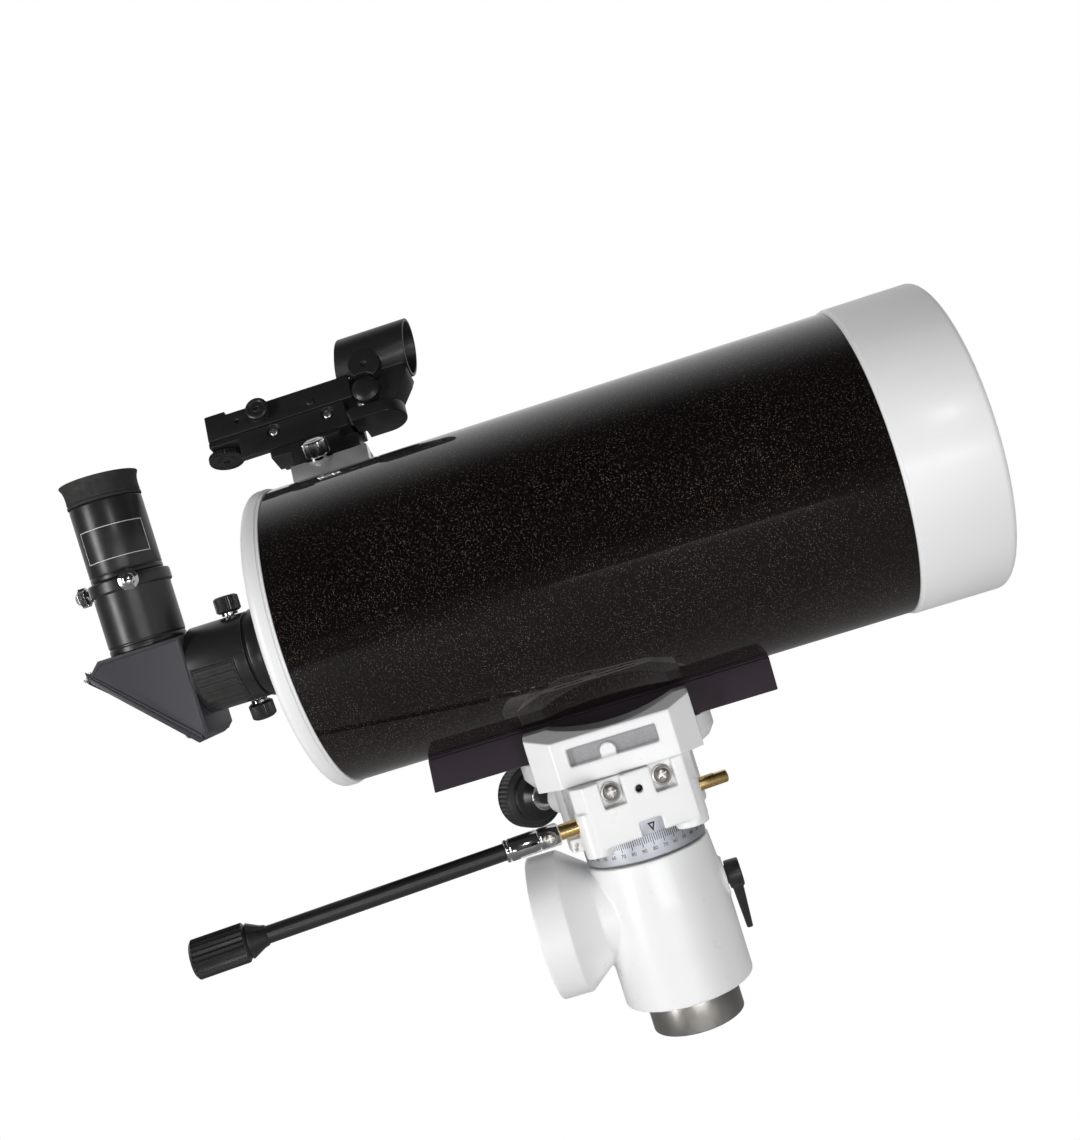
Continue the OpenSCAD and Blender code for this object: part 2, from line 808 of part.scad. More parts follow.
// Lever that brakes the shaft; the hub screws into the housing's side boss
module brake_lever() {
  color("black") translate([dec_x, 0, 0]) {
    bar_x(shaft_r + 0.3, 33, 4);
    bar_x(32, 39, 6.5);
    translate([33, 0, 0]) rotate([35, 0, 0]) hull() {
      box([0, 5], [-5, 5], [-8, 0]);
      box([1, 4], [-3.5, 3.5], [-38, -30]);
    }
  }
}

// ---- turning head ----

module dec_shaft() {
  color("silver") translate([dec_x, 0, 0]) difference() {
    union() {
      translate([0, 0, shaft_bottom]) cylinder(r = shaft_r, h = 118.5);
      translate([0, 0, shaft_bottom]) cylinder(r = 22, h = 15.8);
      translate([0, 0, 58.2]) cylinder(r = 20, h = 5);
    }
    translate([0, 0, shaft_bottom - 1]) cylinder(r = weight_r, h = weight_depth + 1);
  }
}

module head_casting() {
  color("white") difference() {
    at_head() union() {
      translate([0, 0, 38]) cylinder(r = 34, h = 28.8);
      translate([0, 0, 38]) linear_extrude(28.8) polygon([[-33, -40], [-28, -45], [19, -45], [24, -40],
        [25, -15], [20, 10], [-24, 10], [-33, -15]]);
      translate([col_left, -38.4, 35.4]) cylinder(r = 6.6, h = 20);
      translate([col_right, -37.4, 34.6]) cylinder(r = 7.6, h = 20);
      box([-38, -32], [-33, -22], [38.4, 44.5]);
      side_knob_at() translate([0, 0, -3]) cylinder(r = 8, h = 12);
    }
    at_head() {
      translate([0, 0, 37]) cylinder(r = 30, h = 20);
      translate([0, 0, 36]) cylinder(r = 20.2, h = 28);
      for (x = screw_x) box([x - 5.1, x + 5.1], [-50, -41], [54.5, 70]);
      translate([0, worm_y, worm_z]) bar_x(-12, 12, worm_r + 0.3);
      box([-12, 12], [worm_y, -20], [worm_z - worm_r, worm_z + worm_r]);
      for (x = screw_x) translate([x, -46, 60.6]) rotate([-90, 0, 0]) cylinder(r = 2 + slip, h = 14);
      translate([-3.4, -46, 58.6]) rotate([-90, 0, 0]) cylinder(r = 1.8, h = 8);
      for (p = [[-35, 41.8], [-35.6, 39.9]]) translate([p[0] - 0.4, -34, p[1]]) rotate([-90, 0, 0])
        cylinder(r = 0.9, h = 4);
      pointer_pocket();
      side_knob_at() translate([0, 0, -8]) cylinder(r = side_stud_r + run, h = 30);
    }
    at_worm() bar_x(-50, 50, worm_shaft_r + run);
  }
}

module head_screws() {
  color("silver") at_head() for (x = screw_x) translate([x, -41.05, 60.6]) rotate([90, 0, 0]) {
    cylinder(r = 4.6, h = 0.8);
    translate([0, 0, 0.7]) pan_head(3.7, 2.6);
    translate([0, 0, -9]) cylinder(r = 2, h = 9.1);
  }
}

// Shallow pocket that the pointer plate sits in
module pointer_pocket() {
  box([-8, 2.4], [-45.1, -42.1], [38, 44.4]);
}

module pointer_plate() {
  color([0.6, 0.6, 0.63]) at_head() difference() {
    box([-7.9, 2.3], [-43.6, -42.2], [38.1, 44.3]);
    translate([-2.8, -43.4, 41]) rotate([90, 0, 0]) linear_extrude(1)
      difference() {
        polygon([[-1.7, 1.8], [1.7, 1.8], [0, -2.2]]);
        polygon([[-0.9, 1.3], [0.9, 1.3], [0, -0.9]]);
      }
  }
}

// Round base with a fixed near jaw and the bracket for the clamp screw on the far side
module saddle() {
  color("white") translate([saddle_x, 0, 0]) difference() {
    union() {
      translate([0, 0, saddle_z + 4]) cylinder(r = saddle_r, h = floor_z - saddle_z - 4);
      translate([0, 0, saddle_z]) cylinder(r1 = saddle_r - 3, r2 = saddle_r, h = 4 + eps);
      near_jaw();
      translate([0, 0, saddle_z]) linear_extrude(92 - saddle_z)
        polygon([[-30, 32], [30, 32], [24, 44], [-24, 44]]);
    }
    // the base is cut back in front of the jaw's face
    box([-60, 60], [-60, -42], [60, 100]);
    box([-20.5, 20.5], [-45, -39.5], [75.6, 83.6]);
    translate([0, 50, clamp_z]) rotate([90, 0, 0]) cylinder(r = clamp_r + run, h = 20);
  }
  color("white") translate([saddle_x - 2.6, -39.6, 78]) rotate([90, 0, 0]) cylinder(r = 3.6, h = 1.6);
}

// Near jaw: chamfered ends, a top that slopes up to the bar and dips in the middle
module near_jaw() {
  difference() {
    intersection() {
      translate([0, 0, saddle_z]) linear_extrude(30) polygon([[-jaw_half, -34], [-26, -42.5],
        [27, -42.5], [jaw_half, -34], [jaw_half, -10], [-jaw_half, -10]]);
      translate([-50, 0, 0]) rotate([90, 0, 90]) linear_extrude(100)
        polygon([[-44, saddle_z], [-10, saddle_z], [-10, floor_z], [-bar_w - slip, floor_z],
          [-bar_w - slip + 14 * flank, floor_z + 14], [-30, 93.1], [-42.5, 87.6], [-44, 87.6]]);
    }
    translate([2.5, 0, 88.4 + 95]) rotate([90, 0, 0]) cylinder(r = 95, h = 60, $fn = 128);
  }
}

module clamp_pad() {
  color("black") translate([saddle_x, 0, 0]) {
    translate([-16, 0, 0]) rotate([90, 0, 90]) linear_extrude(32)
      polygon([[bar_w + slip - 0.3 * flank, floor_z + 0.3], [28.6, floor_z + 0.3], [28.6, 92],
        [bar_w + slip - 12.9 * flank, 92]]);
  }
}

module saddle_knob() {
  color("black") translate([saddle_x, 28.7, clamp_z]) rotate([-90, 0, 0]) difference() {
    union() {
      cylinder(r = clamp_r, h = 24);
      translate([0, 0, 18.3]) cylinder(r = 8, h = 5);
      translate([0, 0, 23]) cylinder(r = 14, h = 12);
    }
    for (a = [0:30:330]) rotate([0, 0, a]) translate([15.6, 0, 22]) cylinder(r = 3, h = 14);
  }
}

// The side screw: local Z points out of the casting
module side_knob_at() {
  translate(side_root) rotate([0, 0, side_az]) rotate([0, 90 - side_up, 0]) children();
}

module side_clamp_knob() {
  color("black") at_head() side_knob_at() difference() {
    union() {
      translate([0, 0, 2]) cylinder(r = side_stud_r, h = 30);
      translate([0, 0, 25.5]) cylinder(r1 = 6, r2 = 9, h = 5);
      translate([0, 0, 30.5 - eps]) cylinder(r = 13, h = 4);
      translate([0, 0, 33.5]) cylinder(r = 16.5, h = 11);
    }
    for (a = [0:15:345]) rotate([0, 0, a]) translate([17.3, 0, 32.5]) cylinder(r = 1.4, h = 13);
  }
}

// ---- worm and slow-motion cable ----

module worm_shaft() {
  color("goldenrod") at_worm() difference() {
    union() {
      bar_x(-48, stub_x[0], worm_shaft_r);
      bar_x(stub_x[0] - eps, stub_x[1], stub_r);
      for (i = [0:4]) translate([i * 3.6 - 8.2, 0, 0]) bar_x(0, 2, worm_r);
      bar_x(-9, 9, worm_r - 1.6);
    }
    box([32, 40], [-4, 4], [2.4, 4]);
  }
}

module cable_coupling() {
  color("silver") at_worm() difference() {
    bar_x(coup_x[0], coup_x[1], 5);
    bar_x(coup_x[1] - 8, coup_x[1] + 1, worm_shaft_r + fit);
    bar_x(coup_x[0] - 1, coup_x[0] + 12, cable_r + fit);
    translate([-47, 0, 0]) rotate([90, 0, 0]) cylinder(r = 1.5 + slip, h = 8);
    box([coup_x[0] + 5, -52], [-6, -3.3], [-0.5, 0.5]);
  }
}

module cable_screw() {
  color("silver") at_worm() translate([-47, -5.05, 0]) rotate([90, 0, 0]) {
    pan_head(3.2, 2.4);
    translate([0, 0, worm_shaft_r - 5]) cylinder(r = 1.5, h = 1.6);
  }
}

// Sheathed flexible cable with its moulded turning knob
module flex_cable() {
  color("black") at_worm() union() {
    bar_x(coup_x[0] - cable_len, coup_x[0] + 11.9, cable_r);
    bar_x(coup_x[0] - cable_len - 20, coup_x[0] - cable_len + 4, 8.5);
    cone_x(coup_x[0] - cable_len + 4 - eps, coup_x[0] - cable_len + 12, 8.5, 4.5);
  }
}

tube_shell();
front_cell();
corrector_lens();
corrector_retainer();
secondary_baffle();
rear_cell();
baffle_tube();
mirror_carrier();
primary_mirror();
focus_screw();
focus_knob();
back_adaptor();
visual_back();
grip_pads();
back_thumb_top();
back_thumb_low();
diagonal_housing();
diagonal_cover();
diagonal_screws();
diagonal_prism();
diagonal_nosepiece();
eyepiece_holder();
holder_thumb_side();
holder_thumb_front();
eyepiece_body();
eyepiece_barrel();
eyepiece_lenses();
eyecup();
dovetail_bar();
bar_bolts();
finder_shoe();
shoe_screws();
shoe_thumbscrew();
finder_base();
finder_screws();
finder_pivot();
finder_body();
finder_hood();
finder_window();
dimmer_wheel();
battery_box();
tilt_knob();
pan_knob();
dec_housing();
dec_bushes();
worm_wheel();
setting_circle();
brake_lever();
dec_shaft();
head_casting();
head_screws();
pointer_plate();
saddle();
side_clamp_knob();
clamp_pad();
saddle_knob();
worm_shaft();
cable_coupling();
cable_screw();
flex_cable();
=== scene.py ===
"""Looks of a Maksutov-Cassegrain telescope on its declination head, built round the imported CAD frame."""

import json
import math

import bmesh
import bpy
from mathutils import Matrix, Vector

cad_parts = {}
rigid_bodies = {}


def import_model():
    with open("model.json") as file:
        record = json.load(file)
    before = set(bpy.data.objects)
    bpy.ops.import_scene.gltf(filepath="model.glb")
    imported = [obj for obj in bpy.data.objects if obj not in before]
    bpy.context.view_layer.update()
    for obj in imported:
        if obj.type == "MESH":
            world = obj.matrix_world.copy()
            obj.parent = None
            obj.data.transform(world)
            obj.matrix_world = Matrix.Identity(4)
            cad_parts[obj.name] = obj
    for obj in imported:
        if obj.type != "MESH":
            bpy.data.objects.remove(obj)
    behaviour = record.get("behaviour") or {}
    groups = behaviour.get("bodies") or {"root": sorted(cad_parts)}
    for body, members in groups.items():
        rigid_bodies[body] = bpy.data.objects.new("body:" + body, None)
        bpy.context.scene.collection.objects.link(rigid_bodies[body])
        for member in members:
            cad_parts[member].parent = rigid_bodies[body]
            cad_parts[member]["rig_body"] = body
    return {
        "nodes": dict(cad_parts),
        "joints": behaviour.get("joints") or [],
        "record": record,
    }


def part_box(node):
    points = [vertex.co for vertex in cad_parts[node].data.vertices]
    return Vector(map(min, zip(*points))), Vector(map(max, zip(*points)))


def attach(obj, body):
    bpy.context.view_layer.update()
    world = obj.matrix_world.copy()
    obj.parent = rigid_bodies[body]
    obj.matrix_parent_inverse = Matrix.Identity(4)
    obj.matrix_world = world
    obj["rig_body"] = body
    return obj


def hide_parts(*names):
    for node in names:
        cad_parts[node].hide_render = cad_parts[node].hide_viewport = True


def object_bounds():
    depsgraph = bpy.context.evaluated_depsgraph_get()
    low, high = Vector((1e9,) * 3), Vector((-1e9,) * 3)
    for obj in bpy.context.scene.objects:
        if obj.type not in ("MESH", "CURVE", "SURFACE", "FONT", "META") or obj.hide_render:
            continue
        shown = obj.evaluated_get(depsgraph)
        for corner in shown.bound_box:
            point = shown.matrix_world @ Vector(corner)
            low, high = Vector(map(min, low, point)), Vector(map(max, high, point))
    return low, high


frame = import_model()
cad_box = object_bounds()

MM = 0.001
SLOT_OF = {part["node"]: part["material_slot"] for part in frame["record"]["subparts"]}
BODY_OF = {name: node["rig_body"] for name, node in frame["nodes"].items()}
JOINTS = {joint["name"]: joint for joint in frame["joints"]}


# ---------------------------------------------------------------- materials


class Finish:
    """A Principled material whose inputs are driven by procedural nodes."""

    def __init__(self, name, colour, roughness, metallic=0.0, coat=0.0, coat_roughness=0.05,
                 specular=0.5):
        self.material = bpy.data.materials.new(name)
        self.material.use_nodes = True
        self.nodes = self.material.node_tree.nodes
        self.links = self.material.node_tree.links
        self.shader = self.nodes["Principled BSDF"]
        values = {
            "Base Color": (*colour, 1),
            "Roughness": roughness,
            "Metallic": metallic,
            "Coat Weight": coat,
            "Coat Roughness": coat_roughness,
            "Specular IOR Level": specular,
        }
        for key, value in values.items():
            self.shader.inputs[key].default_value = value
        self.place = self.add("ShaderNodeTexCoord").outputs["Object"]

    def add(self, kind, **settings):
        node = self.nodes.new(kind)
        for key, value in settings.items():
            setattr(node, key, value)
        return node

    def link(self, source, target):
        self.links.new(source, target)

    def drive(self, name, socket):
        self.link(socket, self.shader.inputs[name])

    def stretched(self, stretch):
        mapping = self.add("ShaderNodeMapping")
        mapping.inputs["Scale"].default_value = stretch
        self.link(self.place, mapping.inputs["Vector"])
        return mapping.outputs["Vector"]

    def noise(self, size_mm, detail=2.0, stretch=(1, 1, 1)):
        """Noise with features of about size_mm."""
        node = self.add("ShaderNodeTexNoise")
        node.inputs["Scale"].default_value = 1 / (size_mm * MM)
        node.inputs["Detail"].default_value = detail
        self.link(self.stretched(stretch), node.inputs["Vector"])
        return node.outputs["Fac"]

    def cells(self, size_mm):
        node = self.add("ShaderNodeTexVoronoi")
        node.inputs["Scale"].default_value = 1 / (size_mm * MM)
        self.link(self.place, node.inputs["Vector"])
        return node

    def math(self, operation, a, b=0.0, clamp=False):
        node = self.add("ShaderNodeMath", operation=operation, use_clamp=clamp)
        for value, socket in ((a, node.inputs[0]), (b, node.inputs[1])):
            if isinstance(value, (int, float)):
                socket.default_value = value
            else:
                self.link(value, socket)
        return node.outputs[0]

    def between(self, fac, low, high):
        """A noise value, mostly within 0.3..0.7, remapped to low..high."""
        node = self.add("ShaderNodeMapRange")
        node.inputs["From Min"].default_value = 0.3
        node.inputs["From Max"].default_value = 0.7
        node.inputs["To Min"].default_value = low
        node.inputs["To Max"].default_value = high
        self.link(fac, node.inputs["Value"])
        return node.outputs["Result"]

    def blend(self, fac, dark, light):
        node = self.add("ShaderNodeMix", data_type="RGBA")
        if isinstance(fac, (int, float)):
            node.inputs[0].default_value = fac
        else:
            self.link(fac, node.inputs[0])
        for value, socket in ((dark, node.inputs[6]), (light, node.inputs[7])):
            if isinstance(value, tuple):
                socket.default_value = (*value, 1)
            else:
                self.link(value, socket)
        return node.outputs[2]

    def bump(self, height, strength, depth_mm):
        node = self.add("ShaderNodeBump")
        node.inputs["Strength"].default_value = strength
        node.inputs["Distance"].default_value = depth_mm * MM
        self.link(height, node.inputs["Height"])
        self.drive("Normal", node.outputs["Normal"])
        return node.outputs["Normal"]

    def edges(self, radius_mm):
        """1 along rounded edges, 0 on flats."""
        bevel = self.add("ShaderNodeBevel", samples=4)
        bevel.inputs["Radius"].default_value = radius_mm * MM
        geometry = self.add("ShaderNodeNewGeometry")
        dot = self.add("ShaderNodeVectorMath", operation="DOT_PRODUCT")
        self.link(bevel.outputs["Normal"], dot.inputs[0])
        self.link(geometry.outputs["Normal"], dot.inputs[1])
        lost = self.math("SUBTRACT", 1.0, dot.outputs["Value"])
        return self.math("MULTIPLY", lost, 6.0, clamp=True)


def painted(name, colour, shade, roughness, grain_mm, depth_mm, coat=0.2):
    """Sprayed paint: orange peel, slight tone drift and duller patches."""
    f = Finish(name, colour, roughness, coat=coat, coat_roughness=0.18)
    drift = f.noise(28, 3)
    f.drive("Base Color", f.blend(f.math("MULTIPLY", drift, 0.35), colour, shade))
    f.drive("Roughness", f.between(f.noise(9, 3), roughness - 0.05, roughness + 0.07))
    f.bump(f.noise(grain_mm, 2), 0.25, depth_mm)
    return f.material


def metal(name, colour, roughness, grain_mm=0.25, stretch=(1, 1, 1), tarnish=0.82, depth_mm=0.01):
    """Bare or plated metal with fine tool marks and a faint tarnish."""
    f = Finish(name, colour, roughness, metallic=1.0)
    dull = tuple(c * tarnish for c in colour)
    f.drive("Base Color", f.blend(f.noise(3.0, 3), dull, colour))
    f.drive("Roughness", f.between(f.noise(6, 2), roughness * 0.92, roughness * 1.12))
    f.bump(f.noise(grain_mm, 1, stretch), 0.12, depth_mm)
    return f.material


def moulded(name, colour, light, roughness, grain_mm, depth_mm, specular=0.5, edge=0.35):
    """Moulded or anodised dark part: fine texture, faint wear along the edges."""
    f = Finish(name, colour, roughness, specular=specular)
    base = f.blend(f.noise(7, 3), colour, tuple(c * 1.15 for c in colour))
    worn = f.math("MULTIPLY", f.edges(0.35), edge)
    f.drive("Base Color", f.blend(worn, base, light))
    f.drive("Roughness", f.between(f.noise(5, 3), roughness - 0.02, roughness + 0.04))
    f.bump(f.noise(grain_mm, 2), 0.2, depth_mm)
    return f.material


def tube_paint():
    """Gloss black lacquer over dark paint with gold, brown and white metal flakes; the flakes sit in the
    base colour, their random brightness a painted glint.
    """
    f = Finish("tube_black", (0.004, 0.0035, 0.0035), 0.42, coat=1.0, coat_roughness=0.03,
               specular=0.05)
    ground = f.blend(f.noise(34, 3), (0.0018, 0.0013, 0.0012), (0.0042, 0.0031, 0.0028))
    flakes = f.cells(0.5)
    split = f.add("ShaderNodeSeparateColor")
    f.link(flakes.outputs["Color"], split.inputs[0])
    near = f.math("LESS_THAN", flakes.outputs["Distance"], 0.36)
    rare = f.math("GREATER_THAN", split.outputs[0], 0.4)
    # each flake's brightness, random from flake to flake, is painted glint; the flakes themselves are the
    # paint's own
    bright = f.math("POWER", split.outputs[2], 2.6)
    patches = f.between(f.noise(45, 2), 0.3, 1.0)
    shown = f.math("MULTIPLY", f.math("MULTIPLY", near, rare), f.math("MULTIPLY", bright, patches))
    tint = f.blend(split.outputs[1], (0.13, 0.065, 0.040), (0.24, 0.19, 0.16))
    f.drive("Base Color", f.blend(shown, ground, tint))
    return f.material


def rubber():
    """Soft black rubber."""
    f = Finish("rubber_black", (0.016, 0.016, 0.016), 0.72, specular=0.35)
    f.drive("Base Color", f.blend(f.noise(4, 4), (0.010, 0.010, 0.010), (0.030, 0.029, 0.028)))
    f.drive("Roughness", f.between(f.noise(2.5, 3), 0.62, 0.85))
    f.bump(f.noise(0.35, 3), 0.45, 0.05)
    return f.material


def coated_glass():
    """Clear glass with a faint green and purple coating."""
    f = Finish("lens_glass", (0.86, 0.95, 0.93), 0.015)
    f.shader.inputs["IOR"].default_value = 1.5
    f.shader.inputs["Transmission Weight"].default_value = 1.0
    facing = f.add("ShaderNodeLayerWeight")
    facing.inputs["Blend"].default_value = 0.35
    f.drive("Base Color", f.blend(facing.outputs["Facing"], (0.90, 0.97, 0.93), (0.72, 0.66, 0.86)))
    f.drive("Roughness", f.between(f.noise(12, 2), 0.008, 0.03))
    return f.material


def cast_grey():
    """Sand-cast recess, rougher and grainy; its darker grey is painted shade of the pocket."""
    f = Finish("recess_with_painted_shade", (0.42, 0.42, 0.43), 0.55)
    # grey mottle: painted shade of the recess over the casting's fine grain
    f.drive("Base Color", f.blend(f.noise(0.8, 4), (0.22, 0.22, 0.23), (0.36, 0.36, 0.37)))
    f.bump(f.noise(0.6, 3), 0.8, 0.25)
    return f.material


FINISH = {
    "tube_black": tube_paint(),
    "cell_white": painted("cell_white", (0.80, 0.80, 0.805), (0.70, 0.70, 0.71), 0.36, 0.9, 0.02),
    "casting_white": painted("casting_white", (0.80, 0.80, 0.80), (0.66, 0.66, 0.67), 0.32, 1.5, 0.09,
                             coat=0.35),
    "anodised_black": moulded("anodised_black", (0.012, 0.012, 0.013), (0.09, 0.09, 0.09), 0.30, 0.25,
                              0.003, edge=0.2),
    "bar_anodised": moulded("bar_anodised", (0.030, 0.023, 0.029), (0.16, 0.14, 0.15), 0.34, 0.25,
                            0.012, edge=0.3),
    "plastic_black": moulded("plastic_black", (0.011, 0.011, 0.012), (0.07, 0.07, 0.07), 0.34, 0.45,
                             0.02, edge=0.22),
    "plastic_satin": moulded("plastic_satin", (0.014, 0.014, 0.019), (0.12, 0.12, 0.15), 0.42, 0.4,
                             0.03, edge=0.4),
    "rubber_black": rubber(),
    "chrome": metal("chrome", (0.66, 0.66, 0.67), 0.13, tarnish=0.92, depth_mm=0.002),
    "steel": metal("steel", (0.50, 0.48, 0.45), 0.30, tarnish=0.90, depth_mm=0.002),
    "brass": metal("brass", (0.80, 0.56, 0.24), 0.27, tarnish=0.88, depth_mm=0.001),
    "aluminium_clear": metal("aluminium_clear", (0.93, 0.93, 0.94), 0.42, 0.2, (0.15, 1, 1), 0.97,
                             0.004),
    "circle_silver": metal("circle_silver", (0.56, 0.58, 0.62), 0.5, 0.2, (1, 1, 6), 0.9, 0.006),
    "plate_grey": metal("plate_grey", (0.46, 0.47, 0.52), 0.42, 0.25, (1, 1, 1), 0.86, 0.01),
    "lens_glass": coated_glass(),
    "mirror_glass": metal("mirror_glass", (0.92, 0.92, 0.92), 0.03, tarnish=0.97, depth_mm=0.0),
}
INK = moulded("ink_black", (0.01, 0.01, 0.011), (0.03, 0.03, 0.03), 0.6, 0.4, 0.004, edge=0.0)
PRINT = painted("print_grey", (0.50, 0.50, 0.51), (0.40, 0.40, 0.41), 0.5, 0.5, 0.003, coat=0.0)
# finish of the saddle pocket, its grey is painted shade
RECESS_PAINTED_SHADE = cast_grey()


# ---------------------------------------------------------------- mesh helpers


def soften(points, size, steps=3, closed=False):
    """The outline with each corner cut back by size and rounded."""
    out = []
    count = len(points)
    for i, point in enumerate(points):
        if not closed and i in (0, count - 1):
            out.append(point)
            continue
        before, here, after = (Vector(points[k % count][:2]) for k in (i - 1, i, i + 1))
        u, v = before - here, after - here
        cut = min(size, u.length * 0.45, v.length * 0.45)
        if cut < 1e-4 or u.angle(v) > math.radians(160):
            out.append(point)
            continue
        start, end = here + u.normalized() * cut, here + v.normalized() * cut
        for k in range(steps + 1):
            t = k / steps
            corner = start * (1 - t) ** 2 + here * 2 * t * (1 - t) + end * t**2
            out.append((corner.x, corner.y, *point[2:]))
    return out


def lathe(points, segments=96, teeth=0, closed=False):
    """Vertices and faces turned about local Z from (radius, z[, tooth depth]) points."""
    if teeth:
        segments = teeth * 4
    verts, rings = [], []
    for point in points:
        radius, z = point[0], point[1]
        depth = point[2] if len(point) > 2 else 0.0
        if radius < 1e-6:
            rings.append([len(verts)])
            verts.append((0.0, 0.0, z))
            continue
        ring = []
        for i in range(segments):
            angle = 2 * math.pi * i / segments
            tooth = abs((angle * teeth / (2 * math.pi)) % 1 - 0.5) * 2 if teeth else 0.0
            r = radius - depth * (1 - tooth)
            ring.append(len(verts))
            verts.append((r * math.cos(angle), r * math.sin(angle), z))
        rings.append(ring)
    faces = []
    pairs = list(zip(rings, rings[1:]))
    if closed:
        pairs.append((rings[-1], rings[0]))
    for a, b in pairs:
        for i in range(segments):
            k = (i + 1) % segments
            if len(a) == 1 and len(b) == 1:
                break
            if len(a) == 1:
                faces.append((a[0], b[k], b[i]))
            elif len(b) == 1:
                faces.append((a[i], a[k], b[0]))
            else:
                faces.append((a[i], a[k], b[k], b[i]))
    return verts, faces


def prism(outline, z0, z1):
    """Vertices and faces of an outline pushed from z0 to z1 along local Z."""
    count = len(outline)
    verts = [(p[0], p[1], z) for z in (z0, z1) for p in outline]
    faces = [tuple(range(count))[::-1], tuple(range(count, 2 * count))]
    faces += [(i, (i + 1) % count, count + (i + 1) % count, count + i) for i in range(count)]
    return verts, faces


def block(x, y, z):
    return prism([(x[0], y[0]), (x[1], y[0]), (x[1], y[1]), (x[0], y[1])], z[0], z[1])


def together(*shapes):
    """Several (verts, faces) as one."""
    verts, faces = [], []
    for more_verts, more_faces in shapes:
        start = len(verts)
        verts += list(more_verts)
        faces += [tuple(start + i for i in face) for face in more_faces]
    return verts, faces


def moved(shape, matrix):
    verts, faces = shape
    return [tuple(matrix @ Vector(v)) for v in verts], faces


def to_mesh(shape, name="shape"):
    mesh = bpy.data.meshes.new(name)
    mesh.from_pydata(shape[0], [], shape[1])
    mesh.validate()
    return mesh


def bevelled(shape, size, angle, segments=3, merge=0.002, limit=True):
    """A mesh or (verts, faces) with its sharp edges rounded; sizes in its own units."""
    bm = bmesh.new()
    source = to_mesh(shape) if isinstance(shape, tuple) else shape
    bm.from_mesh(source)
    bmesh.ops.remove_doubles(bm, verts=bm.verts, dist=merge)
    bmesh.ops.dissolve_limit(bm, angle_limit=math.radians(0.5), verts=bm.verts, edges=bm.edges)
    bmesh.ops.recalc_face_normals(bm, faces=bm.faces)
    sharp = [e for e in bm.edges if len(e.link_faces) == 2 and e.calc_face_angle() > math.radians(angle)]
    bmesh.ops.bevel(bm, geom=sharp, offset=size, segments=segments, profile=0.5, affect="EDGES",
                    clamp_overlap=limit, offset_type="OFFSET")
    bmesh.ops.remove_doubles(bm, verts=bm.verts, dist=merge * 0.5)
    bmesh.ops.triangulate(bm, faces=[f for f in bm.faces if len(f.verts) > 4])
    verts = [tuple(v.co) for v in bm.verts]
    bm.verts.index_update()
    faces = [tuple(v.index for v in f.verts) for f in bm.faces]
    bm.free()
    return verts, faces


def carved(shape, cutter):
    """The shape less the cutter, both closed."""
    objects = []
    for part in (shape, cutter):
        obj = bpy.data.objects.new("carve", to_mesh(part))
        bpy.context.scene.collection.objects.link(obj)
        objects.append(obj)
    modifier = objects[0].modifiers.new("carve", "BOOLEAN")
    modifier.operation = "DIFFERENCE"
    modifier.solver = "EXACT"
    modifier.object = objects[1]
    bpy.context.view_layer.update()
    result = objects[0].evaluated_get(bpy.context.evaluated_depsgraph_get()).to_mesh()
    verts = [tuple(v.co) for v in result.vertices]
    faces = [tuple(p.vertices) for p in result.polygons]
    for obj in objects:
        bpy.data.objects.remove(obj)
    return verts, faces


def frame_at(origin, axis, across=None):
    """Matrix from millimetres in a local frame, Z along axis, to metres in the row frame."""
    z = Vector(axis).normalized()
    x = Vector(across) if across else (Vector((1, 0, 0)) if abs(z.x) < 0.9 else Vector((0, 1, 0)))
    x = (x - z * x.dot(z)).normalized()
    y = z.cross(x)
    turn = Matrix((x, y, z)).transposed().to_4x4()
    return Matrix.Translation(Vector(origin)) @ turn @ Matrix.Scale(MM, 4)


def piece(name, shape, place, node=None, body=None, finish=None, stands_for=(), crease=32):
    """One visible object of the telescope, riding on its CAD body."""
    mesh = to_mesh(shape, name)
    mesh.transform(place)
    mesh.shade_smooth()
    mesh.set_sharp_from_angle(angle=math.radians(crease))
    obj = bpy.data.objects.new(name, mesh)
    bpy.context.scene.collection.objects.link(obj)
    slot = SLOT_OF[node] if node else None
    mesh.materials.append(finish or FINISH[slot])
    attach(obj, body or BODY_OF[node])
    if stands_for:
        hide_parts(*stands_for)
    return obj


def remade(node, shape, place, **options):
    """A finished piece that stands for one CAD node."""
    return piece(node + "_look", shape, place, node=node, stands_for=(node,), **options)


def rounded_copy(node, size_mm, angle=30, segments=3):
    """The CAD node's own shape with its edges rounded."""
    shape = bevelled(frame["nodes"][node].data, size_mm * MM, angle, segments, merge=2e-6, limit=False)
    return remade(node, shape, Matrix.Identity(4))


def cast_copy(node, voxel_mm, rounds):
    """The CAD node's own shape remeshed and relaxed, so that its edges are soft as a casting's are."""
    holder = bpy.data.objects.new("cast", frame["nodes"][node].data.copy())
    bpy.context.scene.collection.objects.link(holder)
    weld = holder.modifiers.new("weld", "WELD")
    weld.merge_threshold = 2e-6
    remesh = holder.modifiers.new("remesh", "REMESH")
    remesh.mode = "VOXEL"
    remesh.voxel_size = voxel_mm * MM
    relax = holder.modifiers.new("relax", "SMOOTH")
    relax.factor = 0.5
    relax.iterations = rounds
    bpy.context.view_layer.update()
    result = holder.evaluated_get(bpy.context.evaluated_depsgraph_get()).to_mesh()
    shape = [tuple(v.co) for v in result.vertices], [tuple(p.vertices) for p in result.polygons]
    bpy.data.objects.remove(holder)
    return remade(node, shape, Matrix.Identity(4), crease=60)


def paint(obj, material, test):
    """Gives the faces whose centre passes test, in row-frame metres, another material."""
    obj.data.materials.append(material)
    index = len(obj.data.materials) - 1
    for polygon in obj.data.polygons:
        if test(polygon.center, polygon.normal):
            polygon.material_index = index


